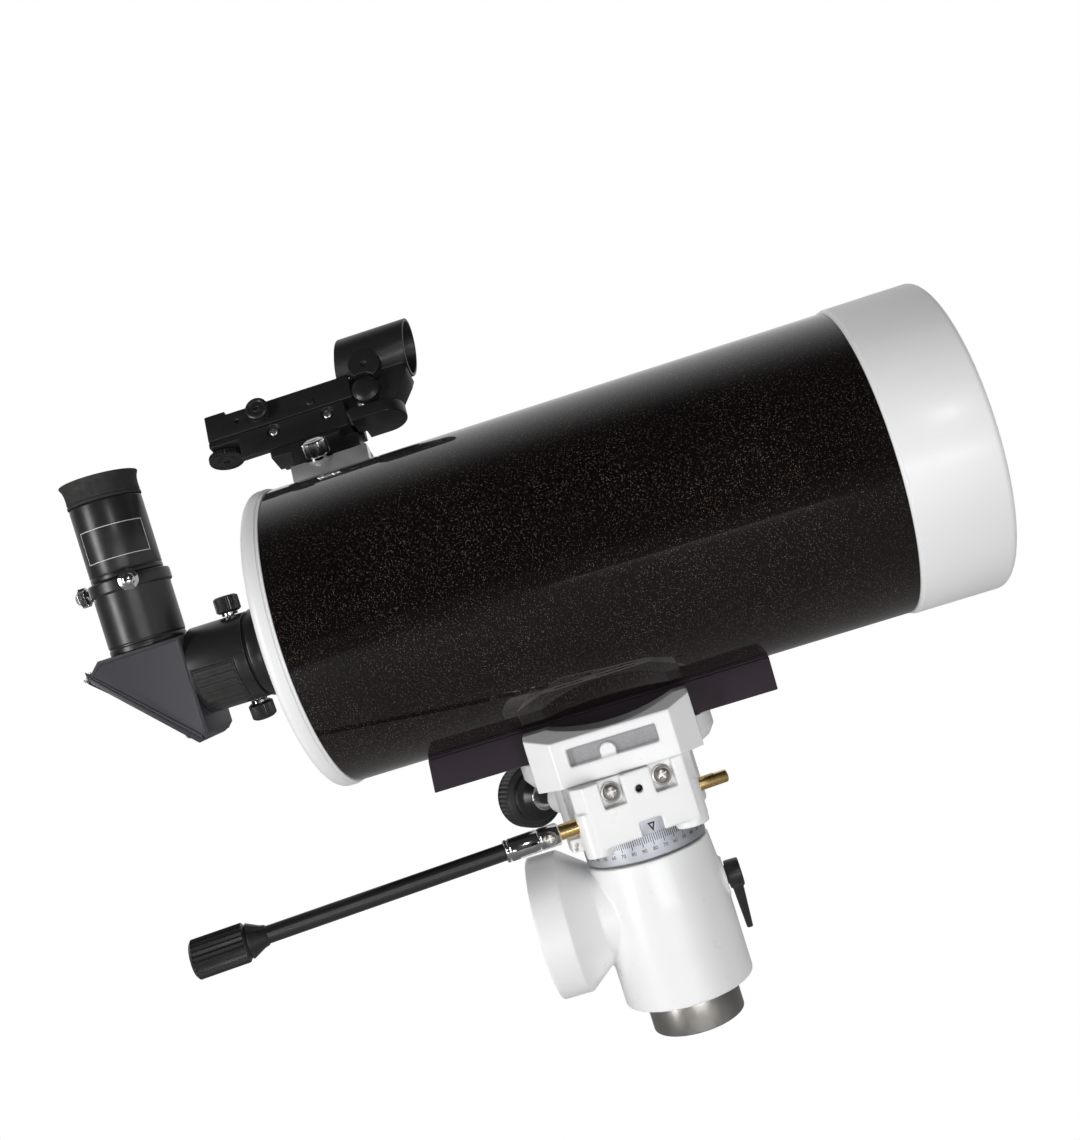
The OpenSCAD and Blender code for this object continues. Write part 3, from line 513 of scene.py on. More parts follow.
def reach(node, place):
    """(lowest z, highest z, largest radius) of a CAD node in a local frame, in millimetres."""
    inverse = place.inverted()
    local = [inverse @ v.co for v in frame["nodes"][node].data.vertices]
    return min(v.z for v in local), max(v.z for v in local), max(math.hypot(v.x, v.y) for v in local)


# ---------------------------------------------------------------- local frames

shell_low, shell_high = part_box("tube_shell")
TUBE_R = (shell_high.y - shell_low.y) / 2 / MM
TUBE_LEN = (shell_high.x - shell_low.x) / MM
tube_origin = Vector((shell_low.x, (shell_low.y + shell_high.y) / 2, (shell_low.z + shell_high.z) / 2))
# along the tube: local Z to the sky, local X to the far side, local Y up
TUBE = frame_at(tube_origin, (1, 0, 0), (0, 1, 0))

barrel_low, barrel_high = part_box("eyepiece_barrel")
eye_origin = Vector(((barrel_low.x + barrel_high.x) / 2, (barrel_low.y + barrel_high.y) / 2,
                     tube_origin.z))
EYE = frame_at(eye_origin, (0, 0, 1), (1, 0, 0))

finder_out = Vector(JOINTS["finder_pan"]["axis"])
FINDER = frame_at(tube_origin + finder_out * TUBE_R * MM, finder_out, (1, 0, 0))

dec = Vector(JOINTS["dec_turn"]["pos_m"])
worm_axis = Vector(JOINTS["worm_turn"]["axis"])
HEAD = frame_at((dec.x, dec.y, 0), (0, 0, 1), worm_axis)
WORM = frame_at(JOINTS["worm_turn"]["pos_m"], worm_axis, (0, 0, 1))
DEC = frame_at((dec.x, dec.y, 0), (0, 0, 1), (1, 0, 0))


def joint_frame(name):
    """Local frame on a joint, Z along its axis."""
    return frame_at(JOINTS[name]["pos_m"], JOINTS[name]["axis"])


# ---------------------------------------------------------------- repeated hardware


def knurled(radius, z0, z1, depth=0.45, chamfer=0.7):
    """Profile points of a straight-knurled head between z0 and z1."""
    return [
        (radius - chamfer - depth, z0),
        (radius - 0.2, z0 + chamfer, 0.0),
        (radius, z0 + chamfer + 0.2, depth),
        (radius, z1 - chamfer - 0.2, depth),
        (radius - 0.2, z1 - chamfer, 0.0),
        (radius - chamfer - depth, z1),
    ]


def thumb_screw(node, place, stem_r, head_len, teeth, dome=0.0, neck=1.5):
    """A turned thumb screw whose length and head radius come from its CAD node."""
    tip, top, radius = reach(node, place)
    rim = top - dome
    base = rim - head_len
    points = [(0, tip), (stem_r - 0.3, tip), (stem_r, tip + 0.3), (stem_r, base - neck)]
    points += [(radius * 0.66, base - neck), (radius * 0.66, base - 0.1)]
    points += knurled(radius, base, rim)
    if dome:
        points += [(radius * 0.62 * math.cos(a), rim + 0.15 + (dome - 0.15) * math.sin(a))
                   for a in (0.1, 0.35, 0.6, 0.9, 1.2)]
    else:
        points += [(radius * 0.66, rim), (radius * 0.62, rim - 0.5), (radius * 0.3, rim - 0.5),
                   (radius * 0.26, rim - 0.1)]
    points.append((0, top if dome else rim - 0.1))
    return remade(node, lathe(soften(points, 0.12, 2), teeth=teeth), place, crease=25)


def cross_screw(radius, height, shank_r, shank_len, washer=0.0, washer_h=0.7):
    """A domed pan head with a cross recess, its seat at z = 0 and its shank below."""
    points = [(0, -shank_len), (shank_r, -shank_len), (shank_r, 0)]
    if washer:
        points += [(washer, 0), (washer, washer_h), (radius * 1.02, washer_h)]
    base = washer_h if washer else 0.0
    points += [(radius, base + 0.02), (radius, base + height * 0.35)]
    for angle in (20, 40, 60, 78):
        a = math.radians(angle)
        points.append((radius * math.cos(a) ** 0.7, base + height * (0.35 + 0.65 * math.sin(a))))
    points.append((0, base + height))
    head = lathe(soften(points, 0.08, 2), 48)
    arm, half = radius * 0.62, radius * 0.13
    depth = base + height * 0.45
    cross = [(-arm, -half), (-half, -half), (-half, -arm), (half, -arm), (half, -half), (arm, -half),
             (arm, half), (half, half), (half, arm), (-half, arm), (-half, half), (-arm, half)]
    return carved(head, prism(cross, depth, base + height + 1))


# ---------------------------------------------------------------- optical tube


def optical_tube():
    """Tube with its white front and rear rings."""
    outer, inner = TUBE_R, TUBE_R - 1.6
    shell = [(outer, 0), (outer, TUBE_LEN), (inner, TUBE_LEN), (inner, 0)]
    obj = remade("tube_shell", lathe(soften(shell, 0.25, 2, True), 256, closed=True), TUBE)
    dull = FINISH["anodised_black"]

    def within(radius):
        return lambda c, n: math.hypot(c.y - tube_origin.y, c.z - tube_origin.z) < radius * MM

    paint(obj, dull, within(outer - 0.8))

    cell_r = (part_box("front_cell")[1].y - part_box("front_cell")[0].y) / 2 / MM
    end = reach("front_cell", TUBE)[1]
    seat_r, glass_z, spigot_end, last_thread = 66.5, TUBE_LEN + 7.5, 255, 300
    front = [
        (61, glass_z), (seat_r, glass_z - 3), (seat_r, spigot_end), (inner - 0.06, spigot_end),
        (inner - 0.06, TUBE_LEN + 0.02), (cell_r - 0.5, TUBE_LEN + 0.02),
        (cell_r - 0.5, TUBE_LEN + 1.6), (cell_r, TUBE_LEN + 1.6),
    ]
    front += [(cell_r - 3 + 3 * math.sin(a), end - 3 + 3 * math.cos(a))
              for a in [math.radians(90 - 15 * k) for k in range(7)]]
    front += [(seat_r + 1.2, end), (seat_r + 1.0, end - 0.8), (seat_r, end - 0.8)]
    # thread rings inside the mouth of the cell
    z = end - 2.0
    while z > last_thread:
        front += [(seat_r, z), (seat_r + 0.5, z - 0.5), (seat_r, z - 1.0)]
        z -= 1.4
    front += [(seat_r, glass_z + 4), (61, glass_z + 4)]
    obj = remade("front_cell", lathe(soften(front, 0.35, 2, True), 256, closed=True), TUBE, crease=40)
    paint(obj, dull, within(seat_r + 0.9))

    low = reach("rear_cell", TUBE)[0]
    rear = [(19.06, low), (19.8, low), (30, low), (30.3, low + 0.35), (31.2, low + 0.35), (31.5, low)]
    rear += [(cell_r - 4 + 4 * math.sin(a), low + 4 - 4 * math.cos(a))
             for a in [math.radians(12 * k) for k in range(8)]] + [(cell_r, low + 4)]
    rear += [(cell_r, -1.6), (cell_r - 0.5, -1.6), (cell_r - 0.5, 0), (inner - 0.06, 0),
             (inner - 0.06, 12), (67, 12), (67, -4), (19.06, -4)]
    remade("rear_cell", lathe(soften(rear, 0.3, 2, True), 256, closed=True), TUBE, crease=40)


def corrector():
    """Meniscus lens with its aluminised spot and its retaining ring."""
    rim, thick, middle = 65.0, 12.0, TUBE_LEN + 0.6

    def sphere(z, curve_r):
        return lambda r: z + curve_r - math.sqrt(curve_r**2 - r**2)

    inner, outer = sphere(middle, 175.0), sphere(middle + thick, 170.0)
    radii = [rim * k / 20 for k in range(21)]
    faces = [(r, inner(r)) for r in radii] + [(r, outer(r)) for r in reversed(radii)]
    remade("corrector_lens", lathe(faces, 128), TUBE)
    # thin aluminised spot on the inner side of the lens
    spot_r, spot_t, air = 17.0, 0.12, 0.02
    radii = [spot_r * k / 8 for k in range(9)]
    spot = [(r, inner(r) - spot_t) for r in radii] + [(r, inner(r) - air) for r in reversed(radii)]
    piece("secondary_spot", lathe(spot, 64), TUBE, body="tube", finish=FINISH["mirror_glass"])
    low, high, radius = reach("corrector_retainer", TUBE)
    ring = [(62, low), (radius, low), (radius, high), (63.4, high), (62, high - 1.4)]
    ring = lathe(soften(ring, 0.25, 2, True), 160, closed=True)
    notches = together(*[moved(block((60, 65.4), (-1.6, 1.6), (high - 1.6, high + 2)),
                               Matrix.Rotation(math.radians(a), 4, "Z")) for a in (0, 90, 180, 270)])
    remade("corrector_retainer", carved(ring, notches), TUBE)


# ---------------------------------------------------------------- visual back and star diagonal


def visual_back():
    """Rear port's adaptor ring, rotating visual back and clamp screws."""
    low, high, radius = reach("back_adaptor", TUBE)
    ring = [
        (17.06, low), (21.2, low), (21.5, low + 0.5), (21.5, low + 5.4), (21.1, low + 5.7),
        (21.1, low + 6.3), (21.5, low + 6.6), (21.5, high - 4.2), (22.2, high - 4.0),
        (radius, high - 3.4, 0.35), (radius, high - 0.6, 0.35), (22.3, high), (19.06, high),
        (19.06, high - 6.9), (17.06, high - 6.9),
    ]
    ring = lathe(soften(ring, 0.15, 1, True), teeth=72, closed=True)
    # grub screw hole on the near side, 55 degrees below level
    hole_z, hole_turn = -24.4, math.radians(-125)
    aim = Matrix.Rotation(hole_turn, 4, "Z") @ Matrix.Rotation(math.radians(90), 4, "Y")
    hole = moved(lathe([(0, 15), (1.5, 15), (1.5, 26), (0, 26)], 32),
                 Matrix.Translation((0, 0, hole_z)) @ aim)
    remade("back_adaptor", carved(ring, hole), TUBE, crease=28)
    rounded_copy("visual_back", 0.35)
    rounded_copy("grip_pads", 0.3)
    for node in ("back_thumb_top", "back_thumb_low"):
        place = joint_frame(node.replace("thumb", "screw") + "_turn")
        obj = thumb_screw(node, place, 2.0, 8.0, 36)
        inverse = place.inverted()
        top = reach(node, place)[1]
        paint(obj, FINISH["chrome"], lambda c, n: (inverse @ c).z < top - 8.2)


def star_diagonal():
    """Prism housing with its bordered sides, sloping cover and cover screws."""
    front = reach("diagonal_housing", TUBE)[1] - (eye_origin.x - tube_origin.x) / MM
    half = (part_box("diagonal_housing")[1].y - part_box("diagonal_housing")[0].y) / 2 / MM
    top, slope, cover, border = 18.5, -16.0, 2.6, 1.9
    near = slope + cover * math.sqrt(2) + 0.03
    # outline in the plane of the two optical axes, millimetres from the eyepiece axis
    toe = (18.47, near - 18.47)
    outline = [(front, top), (-19, top), (-25.3, 12.2), (-25.3, near + 25.3), toe, (19, slope - 14.5),
               (front, slope - 12)]
    side = frame_at(eye_origin, (0, -1, 0), (1, 0, 0))
    bm = bmesh.new()
    bm.from_mesh(to_mesh(prism(outline, -half, half)))
    bm.faces.ensure_lookup_table()
    flat = [f for f in bm.faces if abs(f.normal.z) > 0.9]
    for face in flat:
        bmesh.ops.inset_individual(bm, faces=[face], thickness=border, depth=0.0)
        bmesh.ops.inset_individual(bm, faces=[face], thickness=0.5, depth=-0.35)
    mesh = bpy.data.meshes.new("housing")
    bm.to_mesh(mesh)
    bm.free()
    remade("diagonal_housing", bevelled(mesh, 0.55, 24), side, crease=30)
    lid = [(-25.3, near + 25.3 - 0.05), (-25.3, slope + 25.3), (16, slope - 16),
           (toe[0] - 0.02, toe[1] - 0.04)]
    remade("diagonal_cover", bevelled(prism(lid, -half, half), 0.45, 24), side, crease=30)
    screw = lathe([(0, -4.5), (0.8, -4.5), (0.8, 0), (1.35, 0.02), (1.35, 0.28), (1.15, 0.5),
                   (0.7, 0.6), (0.45, 0.62), (0.4, 0.35), (0, 0.35)], 32)
    across, flip = Matrix.Rotation(math.radians(45), 4, "Y"), Matrix.Rotation(math.radians(180), 4, "X")
    seated = []
    for u in (-27.3, 27.6):
        for v in (-17.6, 17.6):
            seat = Matrix.Translation((u, v, slope / math.sqrt(2) - 0.01))
            seated.append(moved(screw, across @ seat @ flip))
    remade("diagonal_screws", together(*seated), EYE, crease=40)


def eyepiece():
    """Holder with its clamp screws, eyepiece body and rubber eyecup."""
    holder_r = 18.4
    holder = [
        (15.93, 24), (15.93, 53.0), (16.6, 53.5), (19.0, 53.5), (19.5, 52.9), (19.6, 51.6),
        (19.6, 47.9), (19.1, 47.3), (holder_r, 47.0), (holder_r, 22.6), (holder_r - 0.35, 22.2),
        (holder_r - 0.35, 21.5), (holder_r, 21.1), (holder_r, 18.8), (17.4, 18.6), (17.4, 17.1),
        (14.2, 17.1), (14.2, 24),
    ]
    remade("eyepiece_holder", lathe(soften(holder[::-1], 0.25, 2, True), 160, closed=True), EYE,
           crease=30)
    for side in ("side", "front"):
        place = joint_frame("holder_screw_" + side + "_turn")
        thumb_screw("holder_thumb_" + side, place, 1.5, 5.0, 40, dome=1.6, neck=1.2)
    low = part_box("eyepiece_body")[0].z
    base = (low - eye_origin.z) / MM
    body = [
        (13.6, base), (16.6, base), (17.0, base + 0.5), (17.2, base + 1.2), (17.2, base + 2.6),
        (16.95, base + 2.8), (16.95, base + 3.2), (17.2, base + 3.4), (17.2, 90.0), (17.0, 90.7),
        (16.65, 91.1), (16.65, 93), (15, 94.5), (13.6, 94.5),
    ]
    remade("eyepiece_body", lathe(soften(body, 0.12, 1, True), 160, closed=True), EYE, crease=30)
    rim = (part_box("eyecup")[1].z - eye_origin.z) / MM
    cup = [
        (16.76, 91.25), (17.45, 91.25), (17.6, 91.7), (17.55, 92.6), (17.2, 92.9), (17.2, 93.3),
        (17.4, 93.6), (17.3, 96.4), (17.45, 98.6), (17.9, 100.6), (18.75, rim - 0.35), (18.65, rim),
        (18.2, rim), (17.8, rim - 0.5), (17.0, 99.6), (16.2, 97.2), (15.4, 96.1), (14.6, 95.6),
        (14.6, 94.65), (16.76, 94.65),
    ]
    remade("eyecup", lathe(soften(cup, 0.3, 3, True), 160, closed=True), EYE, crease=50)
    label_frame()


def label_frame():
    """A thin printed rectangle on the eyepiece body, left empty."""
    radius, half_angle, low, high, line = 17.2, 56.0, 62.6, 78.4, 0.38
    facing, steps = -74.0, 24
    under, over = radius - 0.05, radius + 0.03

    def strip(a0, a1, z0, z1, count):
        verts, faces = [], []
        for i in range(count + 1):
            a = math.radians(a0 + (a1 - a0) * i / count)
            for r, z in ((under, z0), (over, z0), (over, z1), (under, z1)):
                verts.append((r * math.cos(a), r * math.sin(a), z))
        for i in range(count):
            for k in range(4):
                faces.append((4 * i + k, 4 * i + 4 + k, 4 * i + 4 + (k + 1) % 4, 4 * i + (k + 1) % 4))
        faces += [(0, 1, 2, 3), tuple(4 * count + k for k in (3, 2, 1, 0))]
        return verts, faces

    wide = math.degrees(line / radius)
    a0, a1 = facing - half_angle, facing + half_angle
    shape = together(
        strip(a0, a1, low, low + line, steps), strip(a0, a1, high - line, high, steps),
        strip(a0, a0 + wide, low + line, high - line, 1),
        strip(a1 - wide, a1, low + line, high - line, 1),
    )
    piece("label_frame", shape, EYE, body="eyepiece", finish=PRINT)


# ---------------------------------------------------------------- bar and finder


def dovetail_bar():
    """Bar under the tube and its bolts."""
    rounded_copy("dovetail_bar", 0.45)
    rounded_copy("bar_bolts", 0.3)


def finder():
    """Red-dot finder on its shoe."""
    rounded_copy("finder_shoe", 0.4)
    thumb_screw("shoe_thumbscrew", joint_frame("shoe_screw_turn"), 2.0, 8.2, 40, dome=0.8)
    rounded_copy("finder_base", 0.45)
    rounded_copy("finder_body", 0.6)
    rounded_copy("finder_hood", 0.45)
    rounded_copy("battery_box", 0.6)
    rounded_copy("shoe_screws", 0.2)

    # domed wheel with fine grip teeth
    spin = frame_at(JOINTS["dimmer_turn"]["pos_m"], -Vector(JOINTS["dimmer_turn"]["axis"]))
    low, high, radius = reach("dimmer_wheel", spin)
    wheel = [(0, low), (radius - 0.3, low), (radius, low + 0.3, 0.3), (radius, high - 2.0, 0.3),
             (radius - 0.3, high - 1.6)]
    wheel += [(radius * 0.86 * math.cos(a), high - 1.5 + 1.45 * math.sin(a))
              for a in (0.15, 0.5, 0.9, 1.25)]
    wheel.append((0, high - 0.05))
    remade("dimmer_wheel", lathe(wheel, teeth=40), spin, crease=28)

    place = joint_frame("tilt_screw_turn")
    low, high, radius = reach("tilt_knob", place)
    knob = [(0, low + 0.9), (1.4, low + 0.9), (1.6, low + 0.1), (4.2, low), (4.6, low + 0.5),
            (7.4, low + 0.5), (7.8, low)]
    knob += knurled(radius, low, low + 3.6, 0.5, 0.5)[1:]
    knob += [(4, low + 3.6), (2, low + 3.8), (2, high), (0, high)]
    remade("tilt_knob", lathe(soften(knob, 0.12, 1), teeth=30), place, crease=25)

    place = frame_at(JOINTS["pan_screw_turn"]["pos_m"], -Vector(JOINTS["pan_screw_turn"]["axis"]))
    low, high, radius = reach("pan_knob", place)
    knob = [(0, low), (1.5, low), (1.5, high - 5.0)] + knurled(radius, high - 5.0, high, 0.45, 0.5)
    knob += [(4.2, high), (3.9, high - 0.5), (1.9, high - 0.5), (1.6, high - 0.1), (1.4, high - 1.2),
             (0, high - 1.2)]
    remade("pan_knob", lathe(soften(knob, 0.12, 1), teeth=28), place, crease=25)

    screw = cross_screw(2.4, 1.3, 1.5, 5.5)
    rail_y, screw_z = -9.63, 36
    seated = []
    for x in (1.0, 29.5):
        seat = Matrix.Translation((x, rail_y, screw_z)) @ Matrix.Rotation(math.radians(90), 4, "X")
        seated.append(moved(screw, seat))
    remade("finder_screws", together(*seated), FINDER, crease=40)
    finder_trim()


def finder_trim():
    """A small black screw on the near side of the finder's upper rail."""
    seat = Matrix.Translation((22.5, -11.02, 45.6)) @ Matrix.Rotation(math.radians(90), 4, "X")
    screw = moved(cross_screw(2.1, 0.8, 0.9, 1.0), seat)
    piece("finder_side_screw", screw, FINDER, body="finder", finish=FINISH["plastic_black"], crease=40)


# ---------------------------------------------------------------- mount head


def mount_head():
    """Castings, screws and levers of the declination head."""
    voxel = 0.55
    cast_copy("dec_housing", voxel, 4)
    cast_copy("head_casting", voxel * 0.85, 3)
    saddle = cast_copy("saddle", voxel * 0.85, 3)

    pocket_x, pocket_y, pocket_z = (-19.4, 21.4), (-40.0, -39.0), (75.7, 83.5)

    def in_saddle_pocket(c, n):
        sides = ((c.x - dec.x, pocket_x), (c.y, pocket_y), (c.z, pocket_z))
        return all(low * MM < value < high * MM for value, (low, high) in sides)

    # the pocket's faces get painted shade: a darker grey where the recess lies in shade
    paint(saddle, RECESS_PAINTED_SHADE, in_saddle_pocket)
    screw = cross_screw(3.7, 2.4, 2.0, 8.5, washer=4.6)
    face_y, screw_z = -41.03, 60.6
    seated = []
    for x in (-15.4, 8.6):
        seat = Matrix.Translation((x, face_y, screw_z)) @ Matrix.Rotation(math.radians(90), 4, "X")
        seated.append(moved(screw, seat @ Matrix.Rotation(math.radians(20 + x), 4, "Z")))
    remade("head_screws", together(*seated), HEAD, crease=40)
    rounded_copy("pointer_plate", 0.15)
    arrow()
    setting_circle()
    socket = [(0, 0), (1.7, 0), (1.7, 2.2), (1.1, 2.6), (1.0, 1.6), (0, 1.6)]
    grub = frame_at(HEAD @ Vector((-3.4, -40.2, 58.6)), HEAD.to_3x3() @ Vector((0, -1, 0)), (0, 0, 1))
    piece("head_grub_screw", lathe(socket, 24), grub, body="head", finish=INK)
    rounded_copy("dec_shaft", 0.6)
    rounded_copy("clamp_pad", 0.5)
    rounded_copy("saddle_knob", 1.2, segments=4)
    rounded_copy("brake_lever", 0.9, angle=20, segments=4)


def arrow():
    """Dark triangle outline filled into the pointer plate's groove."""
    outer = [(-1.7, 1.8), (1.7, 1.8), (0, -2.2)]
    inner = [(-0.9, 1.3), (0.9, 1.3), (0, -0.9)]
    verts = [(p[0], p[1], z) for z in (0.0, 0.45) for p in outer + inner]
    faces = []
    for i in range(3):
        k = (i + 1) % 3
        faces += [(i, k, 3 + k, 3 + i), (6 + i, 9 + i, 9 + k, 6 + k), (i, 6 + i, 6 + k, k),
                  (3 + i, 3 + k, 9 + k, 9 + i)]
    place = HEAD @ Matrix.Translation((-2.8, -43.2, 41)) @ Matrix.Rotation(math.radians(90), 4, "X")
    piece("pointer_arrow", (verts, faces), place, body="head", finish=INK)


def setting_circle():
    """Silver ring with its ticks every two degrees and a number every ten."""
    low, high, radius = reach("setting_circle", DEC)
    inner = 24.06
    ring = [(inner, low), (radius - 0.4, low), (radius, low + 0.4), (radius, high - 0.4),
            (radius - 0.4, high), (inner, high)]
    remade("setting_circle", lathe(soften(ring, 0.2, 2, True), 180, closed=True), DEC)
    lift, sink = 0.03, 0.05
    top = high - 0.5
    marks = []
    for degree in range(0, 360, 2):
        length = 6.2 if degree % 10 == 0 else 4.6
        mark = block((radius - sink, radius + lift), (-0.16, 0.16), (top - length, top))
        marks.append(moved(mark, Matrix.Rotation(math.radians(degree), 4, "Z")))
    piece("circle_ticks", together(*marks), DEC, body="circle", finish=INK)
    numerals = []
    for degree in range(0, 360, 10):
        folded = degree % 180
        value = folded if folded <= 90 else 180 - folded
        numerals.append(numeral(str(value), radius, degree, top - 6.9, 1.7))
    piece("circle_numerals", together(*numerals), DEC, body="circle", finish=INK)


def numeral(text, radius, degree, top, height):
    """Raised figures wrapped round a cylinder about local Z."""
    curve = bpy.data.curves.new("figure", "FONT")
    curve.body = text
    curve.align_x = "CENTER"
    curve.size = height * 1.4
    curve.extrude = 0.04
    curve.resolution_u = 3
    obj = bpy.data.objects.new("figure", curve)
    bpy.context.scene.collection.objects.link(obj)
    bpy.context.view_layer.update()
    mesh = obj.evaluated_get(bpy.context.evaluated_depsgraph_get()).to_mesh()
    verts = []
    for v in mesh.vertices:
        angle = math.radians(degree) + v.co.x / radius
        r = radius - 0.01 + v.co.z
        verts.append((r * math.cos(angle), r * math.sin(angle), top - height + v.co.y))
    faces = [tuple(p.vertices) for p in mesh.polygons]
    bpy.data.objects.remove(obj)
    return verts, faces


def clamp_knob():
    """Large knurled knob of the head's side screw, stepped towards the head."""
    place = joint_frame("side_screw_turn")
    low, high, radius = reach("side_clamp_knob", place)
    body = [(0, low), (3.7, low), (4, low + 0.3), (4, high - 19), (6, high - 19), (6.2, high - 18.6),
            (8.8, high - 14.6), (9.2, high - 14), (12.4, high - 14), (13, high - 13.4),
            (13, high - 11.4), (14.4, high - 11.2)]
    body += knurled(radius, high - 11.2, high, 0.7, 0.8)[1:-1]
    body += [(14.2, high), (13.6, high - 1.0), (8, high - 1.4), (7.6, high - 0.6), (0, high - 0.4)]
    remade("side_clamp_knob", lathe(soften(body, 0.25, 2), teeth=44), place, crease=25)
    washer = [(4.1, high - 20.4), (6.9, high - 20.4), (7.2, high - 20), (7.2, high - 19.4),
              (6.4, high - 19.05), (4.1, high - 19.05)]
    piece("side_knob_washer", lathe(soften(washer, 0.1, 1, True), 64, closed=True), place,
          body="side_screw", finish=FINISH["chrome"])


def worm_and_cable():
    """Worm shaft, coupling and slow-motion cable."""
    low, high, _ = reach("worm_shaft", WORM)
    shaft_r, stub_r, stub_start = 3.5, 3.0, 25
    stub = [(0, low + 0.02), (3.1, low + 0.02), (shaft_r, low + 0.4), (shaft_r, -9)]
    for k in range(5):
        z = k * 3.6 - 8.2
        stub += [(4.6, z - 0.6), (6.15, z + 0.4), (6.15, z + 1.4), (4.6, z + 2.3)]
    stub += [(shaft_r, 9.6), (shaft_r, stub_start), (stub_r, stub_start), (stub_r, high - 0.5),
             (2.5, high)]
    stub.append((0, high))
    shape = lathe(soften(stub, 0.1, 1), 64)
    flat = block((2.4, 5), (-4, 4), (high - 6, high + 1))
    remade("worm_shaft", carved(shape, flat), WORM)
    low, high, radius = reach("cable_coupling", WORM)
    sleeve = [(3.52, high - 8), (3.52, high), (radius - 0.6, high), (radius, high - 0.6),
              (radius, high - 8.6), (radius - 0.25, high - 8.8), (radius - 0.25, high - 9.6),
              (radius, high - 9.8), (radius, low + 2.4), (radius - 0.3, low + 2.2),
              (radius - 0.3, low + 1.6), (radius, low + 1.4), (radius, low + 0.5), (radius - 0.5, low),
              (3.85, low), (3.85, low + 12), (3.52, low + 12)]
    sleeve = lathe(soften(sleeve[::-1], 0.12, 1, True), 96, closed=True)
    # slot along the near side; local Y of the worm frame is across, local X up
    near = (WORM.inverted() @ (HEAD @ Vector((0, -60, 50)))).normalized()
    turn = Matrix.Rotation(math.atan2(near.y, near.x), 4, "Z")
    slot = moved(block((3.3, 6), (-0.45, 0.45), (low + 4.5, high - 10.5)), turn)
    remade("cable_coupling", carved(sleeve, slot), WORM, crease=30)
    seat = Matrix.Translation((radius + 0.02, 0, high - 5)) @ Matrix.Rotation(math.radians(90), 4, "Y")
    remade("cable_screw", moved(cross_screw(3.1, 2.3, 1.5, 1.4), turn @ seat), WORM, crease=40)
    flex_cable()


def flex_cable():
    """Sheathed cable with its turning knob."""
    low, high, radius = reach("flex_cable", WORM)
    cable = 3.8
    knob_end = low + 24
    points = [(0, high), (cable - 0.3, high), (cable, high - 0.4), (cable, knob_end + 8.4),
              (4.4, knob_end + 8), (4.9, knob_end + 6), (radius - 0.8, knob_end + 0.6)]
    points += knurled(radius, low + 0.5, knob_end, 0.6, 1.0)[::-1]
    points += [(radius - 2.4, low + 0.2), (0, low)]
    shape = lathe(soften(points, 0.3, 2)[::-1], teeth=24)
    remade("flex_cable", shape, WORM, crease=25)


def focus_knob():
    """Ribbed knob on the far side of the rear ring."""
    place = joint_frame("focus_turn")
    low, high, radius = reach("focus_knob", place)
    points = [(0, low), (radius - 2.4, low), (radius - 2.0, low + 0.4), (radius - 1.0, low + 0.5),
              (radius - 0.3, low + 1.2)]
    points += [(radius, low + 1.6, 0.8), (radius, high - 4.4, 0.8), (radius - 0.4, high - 3.2),
               (9, high - 2.6), (9, high), (4.02, high)]
    points += [(4.02, high - 16), (0, high - 16)]
    remade("focus_knob", lathe(soften(points, 0.25, 2), teeth=26), place, crease=25)


# ---------------------------------------------------------------- hidden nodes keep the CAD shape


def finish_hidden():
    """Gives the CAD meshes that stay visible their materials."""
    for name, node in frame["nodes"].items():
        if node.hide_render:
            continue
        node.data.materials.clear()
        node.data.materials.append(FINISH[SLOT_OF[name]])
        node.data.shade_smooth()
        node.data.set_sharp_from_angle(angle=math.radians(30))


# ---------------------------------------------------------------- stage, light and camera


def backdrop():
    """White to the camera; to reflections bright behind the object and dark in front of it."""
    world = bpy.data.worlds.new("studio")
    bpy.context.scene.world = world
    world.use_nodes = True
    nodes, links = world.node_tree.nodes, world.node_tree.links
    background = nodes["Background"]
    path = nodes.new("ShaderNodeLightPath")
    where = nodes.new("ShaderNodeTexCoord")
    split = nodes.new("ShaderNodeSeparateXYZ")
    links.new(where.outputs["Generated"], split.inputs[0])
    behind = nodes.new("ShaderNodeMapRange")
    behind.interpolation_type = "SMOOTHSTEP"
    behind.inputs["From Min"].default_value = -0.1
    behind.inputs["From Max"].default_value = 0.75
    behind.inputs["To Min"].default_value = 0.035
    behind.inputs["To Max"].default_value = 0.75
    links.new(split.outputs["Y"], behind.inputs["Value"])
    mix = nodes.new("ShaderNodeMix")
    mix.data_type = "RGBA"
    mix.inputs[7].default_value = (1.0, 1.0, 1.0, 1)
    links.new(path.outputs["Is Camera Ray"], mix.inputs[0])
    links.new(behind.outputs["Result"], mix.inputs[6])
    links.new(mix.outputs[2], background.inputs["Color"])
    background.inputs["Strength"].default_value = 1.0


def pale_floor():
    """A white floor that stays as bright as the backdrop to the camera."""
    low, high = cad_box
    floor_mesh = bpy.data.meshes.new("floor")
    reach_m, drop = 6.0, 0.22
    middle_x, z = (low.x + high.x) / 2, low.z - drop
    corners = [(middle_x + x * reach_m, y * reach_m, z)
               for x, y in ((-1, -1), (1, -1), (1, 1), (-1, 1))]
    floor_mesh.from_pydata(corners, [], [(0, 1, 2, 3)])
    floor = bpy.data.objects.new("floor", floor_mesh)
    bpy.context.scene.collection.objects.link(floor)
    pale = Finish("floor_pale", (0.25, 0.25, 0.25), 0.9)
    out = pale.nodes["Material Output"]
    glow = pale.add("ShaderNodeEmission")
    glow.inputs["Strength"].default_value = 1.0
    ray = pale.add("ShaderNodeLightPath")
    choose = pale.add("ShaderNodeMixShader")
    pale.link(ray.outputs["Is Camera Ray"], choose.inputs[0])
    pale.link(pale.shader.outputs[0], choose.inputs[1])
    pale.link(glow.outputs[0], choose.inputs[2])
    pale.link(choose.outputs[0], out.inputs["Surface"])
    floor_mesh.materials.append(pale.material)
    # the large lights stand below the floor and shine through it
    floor.visible_shadow = False


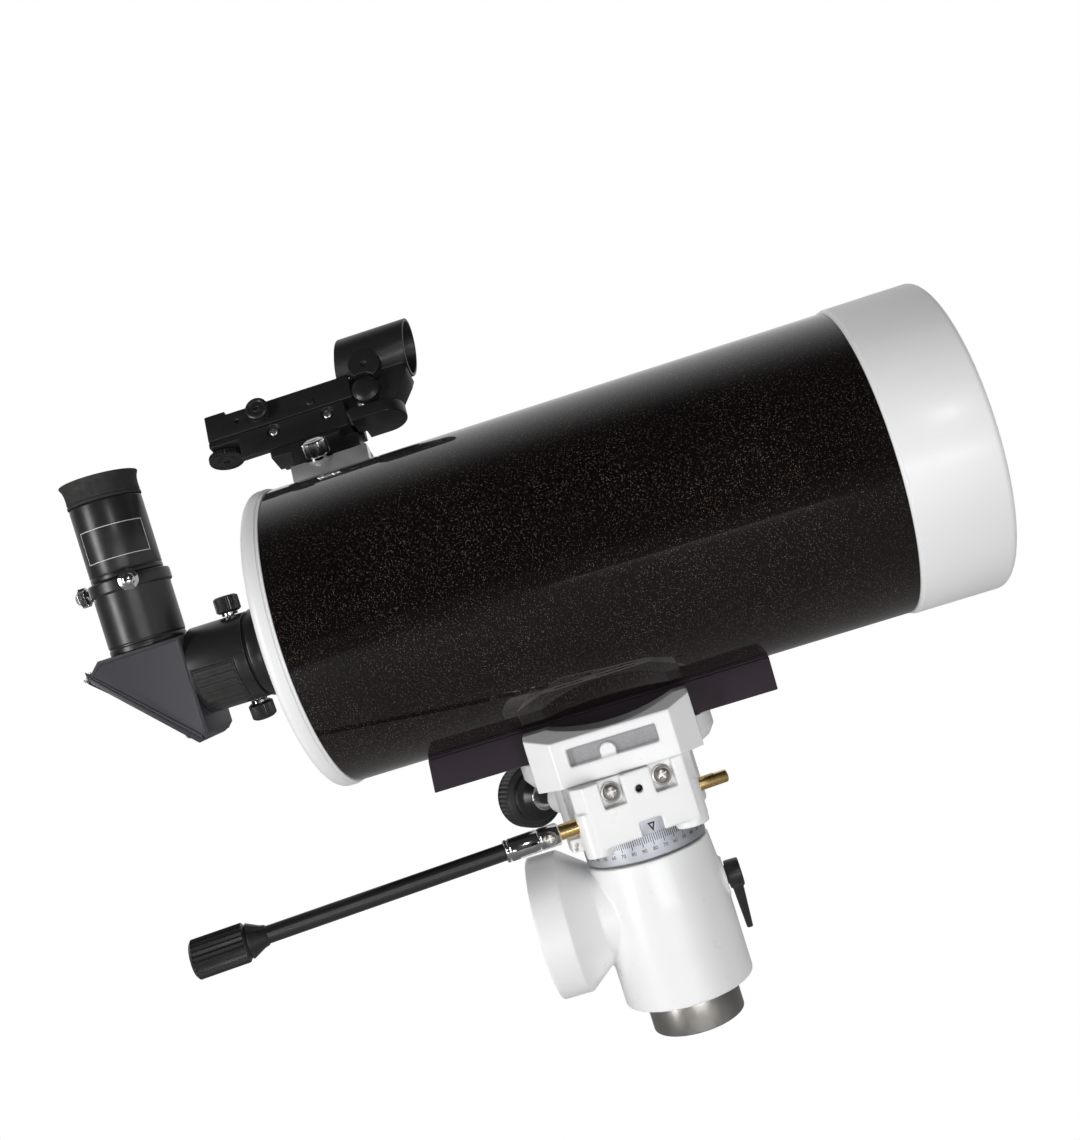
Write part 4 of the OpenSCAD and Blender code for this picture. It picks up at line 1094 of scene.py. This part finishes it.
def lights():
    """Soft boxes; each front one has a twin that lights the lacquer without being mirrored in it."""
    low, high = cad_box
    middle = (low + high) / 2
    glossy = {FINISH["tube_black"], FINISH["bar_anodised"]}
    lacquered = [o for o in bpy.context.scene.objects
                 if o.type == "MESH" and glossy & set(o.data.materials)]

    def limit_to(lamp, state):
        receivers = bpy.data.collections.new(lamp.name + "_receivers")
        lamp.light_linking.receiver_collection = receivers
        for obj in lacquered:
            receivers.objects.link(obj)
        for entry in receivers.collection_objects:
            entry.light_linking.link_state = state

    def softbox(name, place, aim, size, watts, mirrored=True, twin=False):
        data = bpy.data.lights.new(name, "AREA")
        data.shape = "RECTANGLE"
        data.size, data.size_y = size
        data.energy = watts
        lamp = bpy.data.objects.new(name, data)
        bpy.context.scene.collection.objects.link(lamp)
        lamp.location = place
        lamp.rotation_mode = "QUATERNION"
        lamp.rotation_quaternion = (Vector(aim) - Vector(place)).to_track_quat("-Z", "Y")
        lamp.visible_glossy = mirrored
        if twin:
            limit_to(lamp, "EXCLUDE")
            unseen = lamp.copy()
            unseen.data = data.copy()
            bpy.context.scene.collection.objects.link(unseen)
            unseen.visible_glossy = False
            limit_to(unseen, "INCLUDE")

    softbox("key", middle + Vector((0.3, -1.4, -0.6)), middle, (0.9, 0.8), 14.5, twin=True)
    mount_foot = Vector((dec.x, dec.y, low.z))
    softbox("low", middle + Vector((0.4, -0.5, -0.7)), mount_foot, (0.5, 0.5), 3.5, twin=True)
    softbox("bounce", middle + Vector((0.05, -0.75, -1.2)), middle, (1.4, 1.0), 14, twin=True)
    softbox("strip", middle + Vector((-1.15, -0.95, 0.1)), middle, (0.3, 1.1), 13, twin=True)
    softbox("spot", middle + Vector((0.55, -1.6, 0.5)), middle, (0.22, 0.22), 3, twin=True)
    softbox("top", middle + Vector((0.1, 0.5, 1.3)), middle, (1.4, 0.5), 3, mirrored=False)
    softbox("back", middle + Vector((-0.4, 1.5, 0.3)), middle, (1.0, 1.0), 9, mirrored=False)


def camera():
    """Near side, slightly in front of the eyepiece end, rolled so that the tube climbs to the right."""
    yaw, pitch, roll = (math.radians(a) for a in (-3.631, 0.132, -17.364))
    ahead = Vector((math.sin(yaw) * math.cos(pitch), math.cos(yaw) * math.cos(pitch), math.sin(pitch)))
    level = Vector((math.cos(yaw), -math.sin(yaw), 0))
    above = level.cross(ahead)
    right = level * math.cos(roll) + above * math.sin(roll)
    up = above * math.cos(roll) - level * math.sin(roll)
    station = (0.08611, -0.60206, 0.16126)
    data = bpy.data.cameras.new("camera")
    data.lens = 40.36
    data.sensor_width = 36.0
    obj = bpy.data.objects.new("camera", data)
    bpy.context.scene.collection.objects.link(obj)
    turn = Matrix((right, up, -ahead)).transposed().to_4x4()
    obj.matrix_world = Matrix.Translation(station) @ turn
    data.clip_start = 0.01
    bpy.context.scene.camera = obj


optical_tube()
corrector()
visual_back()
star_diagonal()
eyepiece()
dovetail_bar()
finder()
mount_head()
clamp_knob()
worm_and_cable()
focus_knob()
finish_hidden()
backdrop()
pale_floor()
lights()
camera()
bpy.context.scene.view_settings.view_transform = "Standard"
